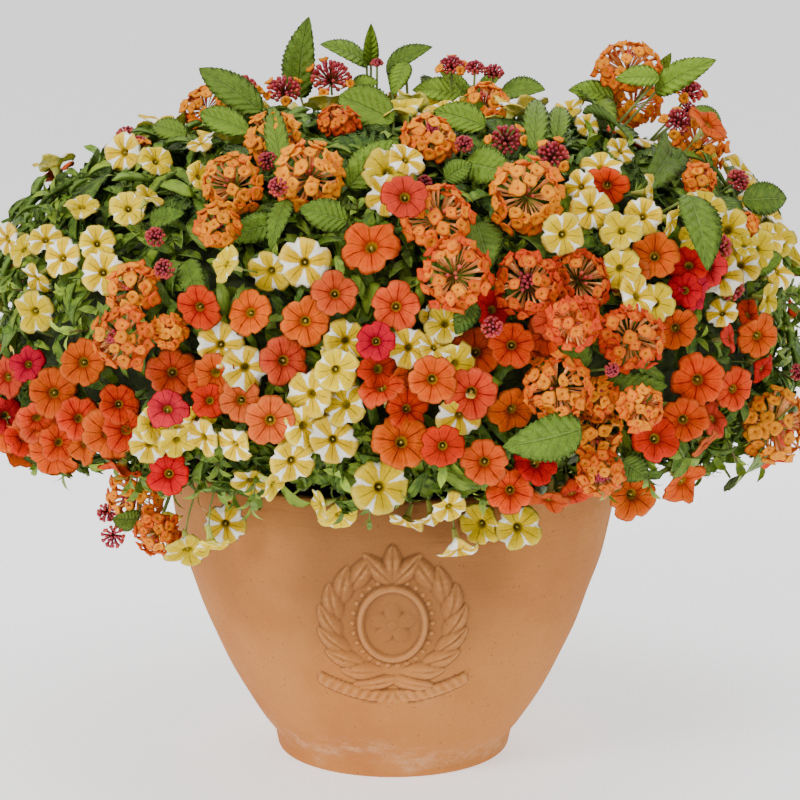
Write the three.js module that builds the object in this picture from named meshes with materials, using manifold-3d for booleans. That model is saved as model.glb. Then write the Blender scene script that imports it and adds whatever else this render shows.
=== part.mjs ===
// A terracotta bowl pot filled with lantana and calibrachoa.
// Millimetres, +Z up, origin at the centre of the pot's underside, front towards -Y.

import * as THREE from "three";
import { mergeVertices } from "three/addons/utils/BufferGeometryUtils.js";
import Module from "manifold-3d";

const wasm = await Module();
wasm.setup();

// ---------------------------------------------------------------- driving dimensions

const GAP = 0.35; // clearance between neighbouring solids

const POT = {
  outline: [
    // radius, height of the outer wall from foot to rim
    [74.4, 5], [76.1, 13], [79.6, 17], [88.9, 30], [100, 50], [112.4, 75],
    [121.9, 100], [132.5, 130], [139, 160], [140, 185],
  ],
  // the same down the inside, from the rim to the floor
  inside: [[130.5, 186], [123, 130], [102.9, 75], [79.4, 30], [70, 17], [62, 14]],
  footRadius: 72.4,
  height: 189,
  floor: 14,
  segments: 28,
  drainRadius: 5,
  drainCircle: 38,
};

const SOIL = { edge: 171, middle: 176, holeFloor: 150, bottom: POT.floor + GAP };
const STEM = { halfWidth: 2.6, sunk: SOIL.holeFloor + GAP, clearance: 0.42 };

// The mound of leaves and flowers is a rounded box in section and an oval in plan.
const MOUND = {
  halfWidth: 258,
  halfDepth: 205,
  equator: 250,
  rise: 155,
  drop: 85,
  boxiness: 2.8,
  skirtAngle: 2.2, // how far the skirt curls under, in radians from the top
};
const CORE_DEPTH = 27; // the leafy heart of each spray ends this far under the mound's surface

// Rings of sprays, from the top of the mound to its skirt; reach runs 0 at the top to 1 at the hem.
const RINGS = [
  { from: 0.02, to: 0.3, sprays: 5 },
  { from: 0.3, to: 0.62, sprays: 8 },
  { from: 0.62, to: 1.0, sprays: 11 },
];

// The planting plan is an elevation seen from EYE. Its u runs right and its v runs down.
const EYE = new THREE.Vector3(4.3, -1474.2, 500.5);
const EYE_PITCH = 0.187;
const PLAN_CENTRE = 400;
const PLAN_FOCUS = 2400; // plan steps per unit of slope, so a step is about 0.6 mm on the mound

// Calibrachoa blooms: u, v, breadth in plan steps, then where it matters turn (degrees to the
// right of straight ahead), rise (degrees up) and nearer (mm towards EYE).
const YELLOW_BLOOMS = [
  [122, 152, 40], [157, 160, 34, 20, 20], [128, 208, 36], [61, 257, 38], [97, 243, 36],
  [103, 272, 42, -10, 5, 3], [33, 312, 42], [5, 240, 38, -60, 10], [22, 248, 34, -50, 20],
  [45, 238, 34, -30, 60, -6], [82, 205, 34, 0, 70], [150, 195, 30, 40, 50], [35, 280, 34, -30, -40],
  [200, 176, 28, 60, 20], [200, 142, 28, 0, 75], [305, 263, 48], [270, 272, 42, -10, 0, -3],
  [224, 263, 36, -60, 10], [220, 345, 43], [242, 372, 36, 0, 0, -8], [338, 350, 34, 0, 50, -6],
  [337, 371, 44], [338, 397, 44, 0, 0, 4], [333, 440, 46], [292, 462, 42], [233, 446, 40, -40, -10],
  [295, 435, 36, 0, 30, -8], [200, 420, 36, 20, -30, -8], [180, 435, 36, -20, -40, -8],
  [225, 525, 40, 10, -20], [188, 553, 44, 0, -35], [165, 530, 42, 30, -25], [212, 548, 38, 10, -60],
  [275, 485, 34, 30, -20], [250, 483, 36, 0, -30, -6], [318, 505, 34, -50, 0],
  [340, 517, 38, 30, -20], [381, 487, 54], [405, 524, 34, -20, -70], [433, 520, 34, 20, -70],
  [450, 508, 32, 40, -10], [480, 525, 42], [519, 528, 46, 10, -5], [459, 553, 42, 20, -65],
  [461, 417, 48, 0, 0, -6], [388, 170, 50], [407, 158, 36, 30, 30, -4], [383, 196, 40, -20, 10, -3],
  [435, 346, 34, 20, 40], [435, 318, 30, 50, 10], [568, 108, 34, -20, 50], [588, 125, 26, 40, 30],
  [602, 165, 40, 20, 40, -6], [622, 150, 30, 60, 30], [580, 186, 32, -50, 20], [564, 235, 42],
  [592, 210, 40, 0, 0, -4], [621, 229, 40, 0, 10, 4], [643, 216, 38, 10, 10, -6],
  [705, 208, 42], [652, 192, 34, 60, 10], [674, 222, 34, 60, -10], [780, 270, 40, 30, 10],
  [770, 300, 34, 40, 10], [745, 245, 26, 20, 50], [722, 312, 30, 0, 20, -4], [655, 302, 38, 0, 0, -4],
];
const ORANGE_BLOOMS = [
  [198, 308, 46], [249, 312, 46], [305, 322, 48], [285, 361, 50], [335, 293, 44], [370, 245, 57],
  [396, 306, 48], [82, 362, 48], [52, 393, 50], [119, 404, 40], [108, 435, 54], [52, 455, 52],
  [5, 378, 44, -30, 0], [5, 428, 48, -20, 0], [172, 372, 50], [207, 380, 40, 0, 0, -8],
  [120, 472, 44, 0, -62], [240, 400, 44], [270, 421, 50], [402, 441, 57], [433, 380, 50],
  [408, 408, 44, 0, 0, -8], [381, 385, 48, 0, 50], [472, 394, 54], [476, 351, 50, 0, 30],
  [512, 345, 46], [514, 411, 50, 20, 5], [484, 463, 48], [510, 491, 46], [607, 187, 42, 0, 0, 3],
  [655, 255, 47], [676, 329, 44], [759, 337, 44, 40, 0], [750, 314, 34, 30, 20, -6], [699, 381, 54],
  [735, 390, 44, 10, 0, -3], [684, 421, 50], [634, 495, 54, 10, -5], [706, 445, 34, 60, -20],
  [773, 462, 34, 0, -70], [573, 497, 44, 0, -60], [548, 503, 42, -30, -60], [540, 345, 34, 0, 60, -8],
];
const RED_BLOOMS = [
  [405, 196, 44, 20, 45, 4], [376, 341, 38], [27, 364, 34], [168, 407, 42, 0, 30], [168, 474, 40],
  [443, 447, 42], [694, 291, 38], [731, 338, 32, 60, 10], [764, 370, 34, 50, 0],
  [715, 418, 36, 65, 0], [656, 438, 45], [537, 462, 44, 20, 20, -5],
];

// Lantana umbels, in the same columns as the blooms.
const UMBELS = [
  [310, 177, 72, 0, 25], [233, 185, 64, -20, 25], [272, 138, 58, 0, 40], [205, 107, 50, -20, 45],
  [133, 290, 55, -20, 15], [122, 338, 62, -25, 5], [218, 227, 46, 0, 30, -4], [168, 331, 34],
  [430, 138, 56, 10, 50], [438, 218, 68, 0, 25], [455, 275, 72, 0, 15], [527, 195, 78, 0, 20],
  [527, 283, 68, -10, 15], [580, 280, 64, 20, 20], [572, 322, 54, 0, 0, -3], [631, 338, 66, 10, 10],
  [557, 388, 66, 0, 5], [600, 395, 36, 0, 20], [596, 434, 54, 0, 0], [600, 473, 46, 0, -10],
  [642, 408, 46, 10, 10], [775, 425, 74, 20, 10], [628, 68, 66, 0, 55], [634, 103, 52, 0, 30],
  [700, 147, 56, 20, 30], [484, 105, 50, 0, 50], [745, 226, 28, 30, 20], [135, 497, 58, -15, 0],
  [158, 534, 46, 0, -20], [338, 122, 42, 0, 65], [700, 180, 34, 20, 20],
];

// Closed lantana bud heads, in the same columns.
const BUD_HEADS = [
  [155, 237, 22], [164, 269, 22], [243, 89, 35, -10, 50], [284, 90, 36, 0, 50], [331, 77, 44, 0, 50],
  [268, 161, 22], [278, 187, 22], [107, 513, 22], [113, 537, 26], [452, 66, 28, 0, 60],
  [475, 68, 22, 0, 60], [494, 72, 22, 10, 60], [506, 139, 34, 0, 30], [464, 144, 20],
  [553, 156, 34, 0, 30], [492, 327, 24], [424, 183, 18], [689, 91, 30, 20, 45],
  [678, 122, 30, 10, 30], [688, 109, 18, 20, 30], [738, 180, 26, 30, 30], [720, 247, 28, 20, 20],
  [731, 287, 30, 20, 10], [797, 372, 18, 30, 10], [377, 63, 14, 0, 70], [612, 370, 16],
];

// Large lantana leaves: foot u, v, tip u, v, breadth, nearer.
const LARGE_LEAVES = [
  [300, 98, 308, 16, 38], [262, 112, 199, 67, 34], [250, 132, 203, 114, 28], [284, 175, 272, 108, 24],
  [187, 135, 151, 124, 24], [150, 222, 186, 213, 22], [187, 260, 203, 307, 28], [287, 200, 270, 247, 24],
  [280, 222, 222, 240, 30, -4], [348, 222, 299, 208, 34, -4], [368, 64, 322, 42, 30],
  [371, 66, 371, 22, 16], [386, 72, 432, 46, 28], [406, 62, 393, 94, 22], [395, 122, 343, 98, 44, -3],
  [348, 188, 398, 140, 40, -2], [462, 95, 413, 88, 34], [498, 96, 546, 91, 34],
  [486, 127, 434, 110, 32], [534, 152, 538, 97, 26], [466, 163, 514, 175, 42, -2],
  [530, 187, 532, 150, 24], [556, 226, 588, 180, 30], [614, 97, 568, 91, 26], [580, 100, 614, 128, 30],
  [655, 92, 713, 59, 30], [688, 110, 722, 133, 32], [670, 145, 643, 192, 40], [742, 200, 788, 198, 34],
  [738, 266, 782, 257, 30], [688, 195, 708, 268, 44, -2], [476, 222, 490, 268, 42, -2],
  [496, 320, 493, 277, 26, 3], [472, 300, 456, 334, 28, 3], [588, 367, 549, 319, 34, 6],
  [603, 386, 668, 386, 28, 6], [582, 428, 504, 447, 48, 2], [445, 180, 472, 162, 26, -4],
  [556, 142, 560, 110, 22], [660, 78, 616, 79, 24, 4], [652, 80, 671, 54, 16],
  [140, 518, 112, 518, 28], [622, 460, 648, 478, 30], [470, 102, 440, 68, 24], [478, 97, 504, 74, 22],
  [348, 92, 378, 82, 28], [718, 235, 690, 262, 34, -3], [720, 196, 738, 222, 28],
];

// What fills the sides and the back of the mound: share of each kind along a golden-angle spiral.
const SURROUND = {
  places: 186,
  turn: 2.39996,
  spread: 0.74,
  margin: 0.2, // how squarely the surface must face EYE to belong to the planting plan
  edge: 12, // plan steps beyond the plan's own width
  seed: 20117,
  shares: [
    ["yellow", 0.13], ["orange", 0.26], ["red", 0.31], ["umbel", 0.37], ["bud", 0.4], ["leaf", 1],
  ],
  breadth: { yellow: 27, orange: 29, red: 24, umbel: 38, bud: 16 }, // mm
  leaf: { length: 66, breadth: 40 },
};

// ---------------------------------------------------------------- small helpers

const vec = (x, y, z) => new THREE.Vector3(x, y, z);
const mix = (a, b, t) => a.clone().lerp(b, t);
const along = (point, direction, distance) => point.clone().addScaledVector(direction, distance);
const degrees = (angle) => (angle * Math.PI) / 180;

// One repeatable stream of numbers from 0 to 1.
let drawState = SURROUND.seed;
function draw() {
  drawState = (drawState * 1664525 + 1013904223) % 4294967296;
  return drawState / 4294967296;
}

// Two directions square to an axis and to each other, turned by spin.
function crossAxes(axis, spin = 0) {
  const guide = Math.abs(axis.z) < 0.9 ? vec(0, 0, 1) : vec(0, 1, 0);
  const right = guide.cross(axis).normalize().applyAxisAngle(axis, spin);
  return [right, axis.clone().cross(right)];
}

// ---------------------------------------------------------------- solids from faces

function solidFromTriangles(corners) {
  const geometry = new THREE.BufferGeometry();
  const numbers = corners.flatMap((corner) => [corner.x, corner.y, corner.z]);
  geometry.setAttribute("position", new THREE.Float32BufferAttribute(numbers, 3));
  return solidFromGeometry(geometry);
}

function solidFromGeometry(geometry) {
  const bare = new THREE.BufferGeometry();
  bare.setAttribute("position", geometry.getAttribute("position"));
  if (geometry.index) bare.setIndex(geometry.index);
  const merged = mergeVertices(bare, 1e-4);
  const index = merged.index.array;
  const kept = [];
  for (let i = 0; i < index.length; i += 3) {
    const [a, b, c] = [index[i], index[i + 1], index[i + 2]];
    if (a !== b && b !== c && c !== a) kept.push(a, b, c);
  }
  const vertProperties = merged.attributes.position.array;
  const make = (triangles) =>
    new wasm.Manifold(
      new wasm.Mesh({ numProp: 3, vertProperties, triVerts: new Uint32Array(triangles) }),
    );
  const solid = make(kept);
  if (solid.volume() > 0) return solid;
  return make(kept.map((_, i) => kept[i - (i % 3) + [0, 2, 1][i % 3]]));
}

// Triangles between two lines of points that run side by side.
function strip(corners, left, right) {
  let [i, j] = [0, 0];
  const [leftEnd, rightEnd] = [left.length - 1, right.length - 1];
  while (i < leftEnd || j < rightEnd) {
    const stepLeft = j === rightEnd || (i < leftEnd && (i + 1) / leftEnd <= (j + 1) / rightEnd);
    const next = stepLeft ? left[i + 1] : right[j + 1];
    corners.push(left[i], right[j], next);
    if (stepLeft) i += 1;
    else j += 1;
  }
}

function fan(corners, ring) {
  for (let i = 1; i < ring.length - 1; i += 1) corners.push(ring[0], ring[i], ring[i + 1]);
}

// A closed solid through rings of points; a ring of one point is a tip.
function loft(rings) {
  const corners = [];
  fan(corners, [...rings[0]].reverse());
  for (let i = 0; i < rings.length - 1; i += 1) {
    const [near, far] = [rings[i], rings[i + 1]];
    strip(corners, [...far, far[0]], [...near, near[0]]);
  }
  fan(corners, rings[rings.length - 1]);
  return solidFromTriangles(corners);
}

function ringOfPoints(centre, axis, radius, sides, spin = 0) {
  const [right, up] = crossAxes(axis, spin);
  return Array.from({ length: sides }, (_, i) => {
    const angle = (i / sides) * 2 * Math.PI;
    return along(along(centre, right, radius * Math.cos(angle)), up, radius * Math.sin(angle));
  });
}

// ---------------------------------------------------------------- the mound's form

function canopyRadius(azimuth) {
  return 1 / Math.hypot(Math.cos(azimuth) / MOUND.halfWidth, Math.sin(azimuth) / MOUND.halfDepth);
}

// Below zero inside the mound, above zero outside.
function canopyLevel(point) {
  const radius = Math.hypot(point.x, point.y);
  const height = point.z - MOUND.equator;
  const reach = height > 0 ? MOUND.rise : MOUND.drop;
  const around = radius / canopyRadius(Math.atan2(point.y, point.x));
  return around ** MOUND.boxiness + Math.abs(height / reach) ** MOUND.boxiness - 1;
}

function canopyNormal(point) {
  const base = canopyLevel(point);
  const slope = (x, y, z) => canopyLevel(vec(point.x + x, point.y + y, point.z + z)) - base;
  return vec(slope(0.5, 0, 0), slope(0, 0.5, 0), slope(0, 0, 0.5)).normalize();
}

// A point of the mound inset by depth, at an azimuth and an angle down from the top.
function moundPoint(azimuth, angle, depth) {
  const power = 2 / MOUND.boxiness;
  const radius = (canopyRadius(azimuth) - depth) * Math.sin(angle) ** power;
  const level = Math.abs(Math.cos(angle)) ** power;
  const height = Math.cos(angle) > 0 ? (MOUND.rise - depth) * level : (depth - MOUND.drop) * level;
  return vec(radius * Math.cos(azimuth), radius * Math.sin(azimuth), MOUND.equator + height);
}

// Where a point lies in the mound: azimuth, and reach from the top (0) to the hem (1).
function moundPlace(point) {
  const azimuth = Math.atan2(point.y, point.x);
  const power = MOUND.boxiness / 2;
  const height = point.z - MOUND.equator;
  const around = (Math.hypot(point.x, point.y) / canopyRadius(azimuth)) ** power;
  const level = Math.abs(height / (height > 0 ? MOUND.rise : MOUND.drop)) ** power;
  return { azimuth, reach: Math.atan2(around, Math.sign(height) * level) / MOUND.skirtAngle };
}

// Stems rise from the soil and arch outwards, as water does in a fountain, and never cross.
function fountain(azimuth, reach, rise) {
  const foot = 14 + 96 * reach;
  const end = moundPoint(azimuth, reach * MOUND.skirtAngle, CORE_DEPTH);
  const [fall, bend, lift] = [(1 - rise) ** 2, 2 * rise * (1 - rise), rise ** 2];
  const radius = fall * foot + bend * 1.25 * foot + lift * Math.hypot(end.x, end.y);
  const height = fall * SOIL.middle + bend * (330 - 64 * reach) + lift * end.z;
  return vec(radius * Math.cos(azimuth), radius * Math.sin(azimuth), height);
}

// ---------------------------------------------------------------- sprays

const sprays = RINGS.flatMap((ring, level) =>
  Array.from({ length: ring.sprays }, (_, i) => {
    const width = (2 * Math.PI) / ring.sprays;
    const azimuth = -Math.PI / 2 + i * width;
    return { azimuth, width, from: ring.from, to: ring.to, level, pieces: [] };
  }),
);
sprays.forEach((spray, i) => {
  spray.name = `spray_${String(i + 1).padStart(2, "0")}`;
});

function turnBetween(a, b) {
  return Math.atan2(Math.sin(a - b), Math.cos(a - b));
}

function sprayAt(point) {
  const { azimuth, reach } = moundPlace(point);
  const level = RINGS.findIndex((ring) => reach < ring.to);
  const ring = level < 0 ? RINGS.length - 1 : level;
  return sprays
    .filter((spray) => spray.level === ring)
    .reduce((best, spray) =>
      Math.abs(turnBetween(azimuth, spray.azimuth)) < Math.abs(turnBetween(azimuth, best.azimuth))
        ? spray
        : best,
    );
}

// Held softly within a limit, so that no two roots end at one point.
const held = (value, limit) => limit * Math.tanh(value / limit);

// A point inside a spray's heart, close under a point of the mound.
const ROOT = { rise: 0.88, spread: 0.4 };
function rootIn(spray, point) {
  const { azimuth, reach } = moundPlace(point);
  const middle = (spray.from + spray.to) / 2;
  const turn = held(turnBetween(azimuth, spray.azimuth), spray.width * ROOT.spread);
  const down = held(reach - middle, (spray.to - spray.from) * ROOT.spread);
  return fountain(spray.azimuth + turn, middle + down, ROOT.rise);
}

const SPRAY_OUTLINE = [[-1, -1], [0, -1], [1, -1], [1, 1], [0, 1], [-1, 1]];

// A lantana's stem is square.
function stemRing(spray, halfWidth, height) {
  const foot = fountain(spray.azimuth, (spray.from + spray.to) / 2, 0).setZ(height);
  const outward = vec(Math.cos(spray.azimuth), Math.sin(spray.azimuth), 0);
  const sideways = vec(-outward.y, outward.x, 0);
  return [[-1, -1], [1, -1], [1, 1], [-1, 1]].map(([turn, reach]) =>
    along(along(foot, sideways, turn * halfWidth), outward, reach * halfWidth),
  );
}

// The heart of a spray: its stem in the soil, widening to a wedge of small leaves under the flowers.
const TUFT = { rim: [0, 5], inner: [10, 2], middle: 5 }; // how far the leaf tips stand out, mm
function sprayHeart(spray) {
  const middle = (spray.from + spray.to) / 2;
  const place = ([turn, reach], share, rise) =>
    fountain(
      spray.azimuth + (turn * share * spray.width) / 2,
      middle + (reach * share * (spray.to - spray.from)) / 2,
      rise,
    );
  const slice = (rise, share) => SPRAY_OUTLINE.map((corner) => place(corner, share, rise));
  const leafTip = (corner, share, proud) => {
    const point = place(corner, share, 1);
    return along(point, canopyNormal(point), proud);
  };
  return loft([
    stemRing(spray, STEM.halfWidth, STEM.sunk),
    stemRing(spray, STEM.halfWidth, SOIL.middle + 3),
    slice(0.15, 0.7),
    slice(0.6, 0.88),
    SPRAY_OUTLINE.map((corner, i) => leafTip(corner, 0.95, TUFT.rim[i % 2])),
    SPRAY_OUTLINE.map((corner, i) => leafTip(corner, 0.5, TUFT.inner[i % 2])),
    [leafTip([0, 0], 0, TUFT.middle)],
  ]);
}

// ---------------------------------------------------------------- flowers and leaves

const BLOOM_LOBES = 5;

// A calibrachoa trumpet: five-lobed limb, funnel, and a tube that tapers into the heart.
function bloomSolid({ centre, axis, spin, radius, root }) {
  const [right, up] = crossAxes(axis, spin);
  const rim = Array.from({ length: 2 * BLOOM_LOBES }, (_, i) => {
    const angle = (i / BLOOM_LOBES) * Math.PI;
    const reach = i % 2 ? radius * 0.86 : radius;
    return along(along(centre, right, reach * Math.cos(angle)), up, reach * Math.sin(angle));
  });
  const throat = [along(centre, axis, -0.3 * radius)];
  const neck = ringOfPoints(along(centre, axis, -0.66 * radius), axis, 0.22 * radius, 3, spin);
  return loft([throat, rim, neck, [root]]);
}

// A dome's directions: the pole and two rings of eight, squashed along the axis.
const DOME_FLATNESS = 0.72;
function domeDirection(polar, turn) {
  const [across, height] = [Math.sin(degrees(polar)), Math.cos(degrees(polar))];
  const angle = degrees(turn);
  return vec(across * Math.cos(angle), across * Math.sin(angle), height);
}

function domeFaces(columns) {
  const step = 360 / columns;
  const ring = (polar) => Array.from({ length: columns }, (_, i) => domeDirection(polar, i * step));
  const [inner, outer] = [ring(50), ring(96)];
  const pole = domeDirection(0, 0);
  const top = Array.from({ length: columns / 2 }, (_, i) => [
    pole, inner[2 * i], inner[2 * i + 1], inner[(2 * i + 2) % columns],
  ]);
  const sides = inner.map((_, i) => {
    const next = (i + 1) % columns;
    return [inner[i], outer[i], outer[next], inner[next]];
  });
  return { faces: [...top, ...sides], under: outer };
}

// Places a dome's directions on an axis.
function domePlacer({ centre, axis, spin }) {
  const [right, up] = crossAxes(axis, spin);
  return (direction, distance) =>
    centre
      .clone()
      .addScaledVector(right, direction.x * distance)
      .addScaledVector(up, direction.y * distance)
      .addScaledVector(axis, direction.z * distance * DOME_FLATNESS);
}

// A lantana umbel: florets that flare out of a small hub, a ring around and a few on top.
const HUB_SHARE = 0.42;
const UMBEL_FULL_RADIUS = 20;
function umbelSolid(place) {
  const put = domePlacer(place);
  const { faces, under } = domeFaces(place.radius > UMBEL_FULL_RADIUS ? 8 : 6);
  const corners = [];
  for (const face of faces) {
    const middle = face.reduce((sum, d) => sum.add(d), vec(0, 0, 0)).normalize();
    const foot = face.map((d) => put(d, HUB_SHARE * place.radius));
    const lip = face.map((d) => put(mix(middle, d, 0.8).normalize(), place.radius));
    strip(corners, [...lip, lip[0]], [...foot, foot[0]]);
    fan(corners, lip);
  }
  fan(corners, under.map((d) => put(d, HUB_SHARE * place.radius)).reverse());
  return solidFromTriangles(corners);
}

// A closed bud head: a dome whose faces rise to points.
function budHeadSolid(place) {
  const put = domePlacer(place);
  const inner = [0, 90, 180, 270].map((turn) => domeDirection(42, turn));
  const outer = [0, 90, 180, 270].map((turn) => domeDirection(96, turn));
  const sides = inner.map((_, i) => [inner[i], outer[i], outer[(i + 1) % 4], inner[(i + 1) % 4]]);
  const corners = [];
  for (const face of [inner, ...sides]) {
    const tip = put(face.reduce((sum, d) => sum.add(d), vec(0, 0, 0)).normalize(), place.radius);
    const base = face.map((d) => put(d, 0.74 * place.radius));
    base.forEach((corner, i) => corners.push(tip, corner, base[(i + 1) % 4]));
  }
  fan(corners, outer.map((d) => put(d, 0.74 * place.radius)).reverse());
  return solidFromTriangles(corners);
}

// How far an umbel's or a bud head's flat underside lies behind its centre.
const undersideDepth = (radius, share) =>
  -Math.cos(degrees(96)) * DOME_FLATNESS * share * radius;

// A stalk from a spray's heart to just under a head, or on into it where the head is joined.
function stalkSolid({ centre, axis, radius, root }, share, joined) {
  const clearance = joined ? -0.12 * radius : GAP;
  const tip = along(centre, axis, -undersideDepth(radius, share) - clearance);
  return loft([ringOfPoints(root, axis, 1.9, 3), ringOfPoints(tip, axis, 1.5, 3)]);
}

// Outline of half a lantana leaf: share of its length, share of its half breadth. Teeth point out.
const LEAF_EDGE = [[0.05, 0.22], [0.3, 1], [0.4, 0.8], [0.6, 0.86]];
const LEAF = { keel: 0.14, bow: 0.05, above: 0.8, below: 1.2 };

// A keeled blade on a stalk that tapers into the heart, with the root under its midrib.
function leafSolid({ foot, tip, breadth, root }) {
  const length = foot.distanceTo(tip);
  const forward = tip.clone().sub(foot).normalize();
  const stalk = foot.clone().sub(root).normalize();
  const side = forward.clone().cross(stalk).normalize();
  const face = side.clone().cross(forward);
  const mitre = side.clone().cross(forward.clone().add(stalk)).normalize();
  const edge = (sign) =>
    LEAF_EDGE.map(([share, width]) => {
      const across = (width * breadth) / 2;
      const proud = LEAF.keel * across + LEAF.bow * length * Math.sin(Math.PI * share);
      return along(along(mix(foot, tip, share), side, sign * across), face, proud);
    });
  const [left, right] = [[root, ...edge(-1), tip], [root, ...edge(1), tip]];
  // Both faces are split alike, so they never cross.
  const sheet = (proud) => {
    const midrib = along(foot, mitre, proud);
    const corners = [root, midrib, left[1], root, right[1], midrib];
    strip(corners, left.slice(1), [midrib, tip]);
    strip(corners, [midrib, tip], right.slice(1));
    return corners;
  };
  return solidFromTriangles([...sheet(LEAF.above), ...sheet(-LEAF.below).reverse()]);
}

// The way a leaf stands off its root.
function leafStand(foot, tip) {
  return foot.clone().sub(rootIn(sprayAt(mix(foot, tip, 0.3)), foot)).normalize();
}

// ---------------------------------------------------------------- placing by the plan

// The first point of the mound's surface on a sight line, or its nearest pass.
function sightOnMound(u, v) {
  const [sin, cos] = [Math.sin(EYE_PITCH), Math.cos(EYE_PITCH)];
  const [right, up] = [(u - PLAN_CENTRE) / PLAN_FOCUS, (PLAN_CENTRE - v) / PLAN_FOCUS];
  const sight = vec(right, cos + up * sin, up * cos - sin).normalize();
  const level = (distance) => canopyLevel(along(EYE, sight, distance));
  let [best, bestLevel] = [0, Infinity];
  for (let distance = 1180; distance < 1600; distance += 4) {
    const here = level(distance);
    if (here < bestLevel) [best, bestLevel] = [distance, here];
    if (here < 0) break;
  }
  if (bestLevel < 0) {
    let [outside, inside] = [best - 4, best];
    for (let i = 0; i < 10; i += 1) {
      const middle = (outside + inside) / 2;
      if (level(middle) < 0) inside = middle;
      else outside = middle;
    }
    best = inside;
  }
  const depth = best * (sight.y * cos - sight.z * sin);
  return { point: along(EYE, sight, best), toEye: sight.negate(), step: depth / PLAN_FOCUS };
}

function facing(turn, rise) {
  const [t, r] = [degrees(turn), degrees(rise)];
  return vec(Math.sin(t) * Math.cos(r), -Math.cos(t) * Math.cos(r), Math.sin(r));
}

function plannedFlower(kind, [u, v, breadth, turn, rise, nearer = 0]) {
  const { point, toEye, step } = sightOnMound(u, v);
  const outward = toEye.clone().multiplyScalar(0.75).addScaledVector(canopyNormal(point), 0.45);
  const axis = turn === undefined ? outward.normalize() : facing(turn, rise);
  const centre = along(point, toEye, nearer);
  return { kind, centre, axis, slide: toEye, radius: (breadth * step) / 2, spin: draw() * 6.28 };
}

function plannedLeaf([footU, footV, tipU, tipV, breadth, nearer = 0]) {
  const [start, end] = [sightOnMound(footU, footV), sightOnMound(tipU, tipV)];
  const foot = along(start.point, start.toEye, nearer - 8);
  const tip = along(end.point, end.toEye, nearer + 3);
  const normal = leafStand(foot, tip);
  return { kind: "leaf", foot, tip, normal, breadth: breadth * start.step, slide: start.toEye };
}

// Flowers and leaves over the sides and the back, where the plan doesn't reach.
function surroundingPieces() {
  const pieces = [];
  for (let i = 0; i < SURROUND.places; i += 1) {
    const azimuth = i * SURROUND.turn;
    const reach = 0.04 + 0.94 * ((i + 0.5) / SURROUND.places) ** SURROUND.spread;
    const point = moundPoint(azimuth, reach * MOUND.skirtAngle, 0);
    const normal = canopyNormal(point);
    const toEye = EYE.clone().sub(point).normalize();
    const [sin, cos] = [Math.sin(EYE_PITCH), Math.cos(EYE_PITCH)];
    const ahead = (point.y - EYE.y) * cos - (point.z - EYE.z) * sin;
    const u = PLAN_CENTRE + (PLAN_FOCUS * (point.x - EYE.x)) / ahead;
    const inPlan = u > -SURROUND.edge && u < 2 * PLAN_CENTRE + SURROUND.edge;
    if (inPlan && normal.dot(toEye) > SURROUND.margin) continue;
    const choice = draw();
    const kind = SURROUND.shares.find(([, share]) => choice <= share)[0];
    const tilt = vec(draw() - 0.5, draw() - 0.5, draw() * 0.7);
    const axis = normal.clone().add(tilt).normalize();
    const size = 0.88 + 0.24 * draw();
    const spin = draw() * 6.28;
    if (kind === "leaf") {
      const [right] = crossAxes(normal, spin);
      const half = (SURROUND.leaf.length * size) / 2;
      const foot = along(along(point, right, -half), normal, -8);
      const tip = along(along(point, right, half), normal, 4);
      const breadth = SURROUND.leaf.breadth * size;
      pieces.push({ kind, foot, tip, normal: leafStand(foot, tip), breadth, slide: normal });
    } else {
      const radius = (SURROUND.breadth[kind] * size) / 2;
      pieces.push({ kind, centre: point, axis, slide: normal, radius, spin });
    }
  }
  return pieces;
}

// ---------------------------------------------------------------- keeping pieces apart

const REACH = { flower: 2.6, umbel: 4.2, leaf: 2.4 };

// Balls that stand for a piece when its neighbours are tested.
function ballsOf(piece) {
  const balls = [];
  const add = (point, size) => balls.push({ point, size });
  if (piece.kind === "leaf") {
    const forward = piece.tip.clone().sub(piece.foot).normalize();
    const side = forward.clone().cross(piece.normal).normalize();
    for (const share of [0.1, 0.3, 0.5, 0.7, 0.9]) {
      const half = piece.breadth * 0.42 * (share < 0.6 ? 1 : 2 * (1 - share));
      for (const across of [-half, 0, half]) {
        add(along(mix(piece.foot, piece.tip, share), side, across), REACH.leaf);
      }
    }
    return balls;
  }
  const { centre, axis, radius, spin } = piece;
  if (piece.kind === "umbel" || piece.kind === "bud") {
    const put = domePlacer(piece);
    const rings = piece.kind === "umbel" ? [[20, 5], [48, 9], [76, 12], [98, 10]] : [[30, 4], [80, 7]];
    for (const [polar, count] of rings) {
      for (let i = 0; i < count; i += 1) {
        add(put(domeDirection(polar, (360 * i) / count), 0.9 * radius), REACH.umbel);
      }
    }
    add(along(centre, axis, -0.4 * radius), REACH.umbel);
  } else {
    const [right, up] = crossAxes(axis, spin);
    for (const [share, count] of [[0, 1], [0.5, 6], [0.95, 12]]) {
      for (let i = 0; i < count; i += 1) {
        const angle = (2 * Math.PI * i) / count;
        const out = along(centre, right, share * radius * Math.cos(angle));
        add(along(out, up, share * radius * Math.sin(angle)), REACH.flower);
      }
    }
    add(along(centre, axis, -0.7 * radius), REACH.flower);
  }
  return balls;
}

const CELL = 10;
const placedBalls = new Map();
const cellKey = (x, y, z) => `${x},${y},${z}`;
const cellOf = (value) => Math.floor(value / CELL);

function keepBalls(balls) {
  for (const ball of balls) {
    const { x, y, z } = ball.point;
    const key = cellKey(cellOf(x), cellOf(y), cellOf(z));
    if (!placedBalls.has(key)) placedBalls.set(key, []);
    placedBalls.get(key).push(ball);
  }
}

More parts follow.
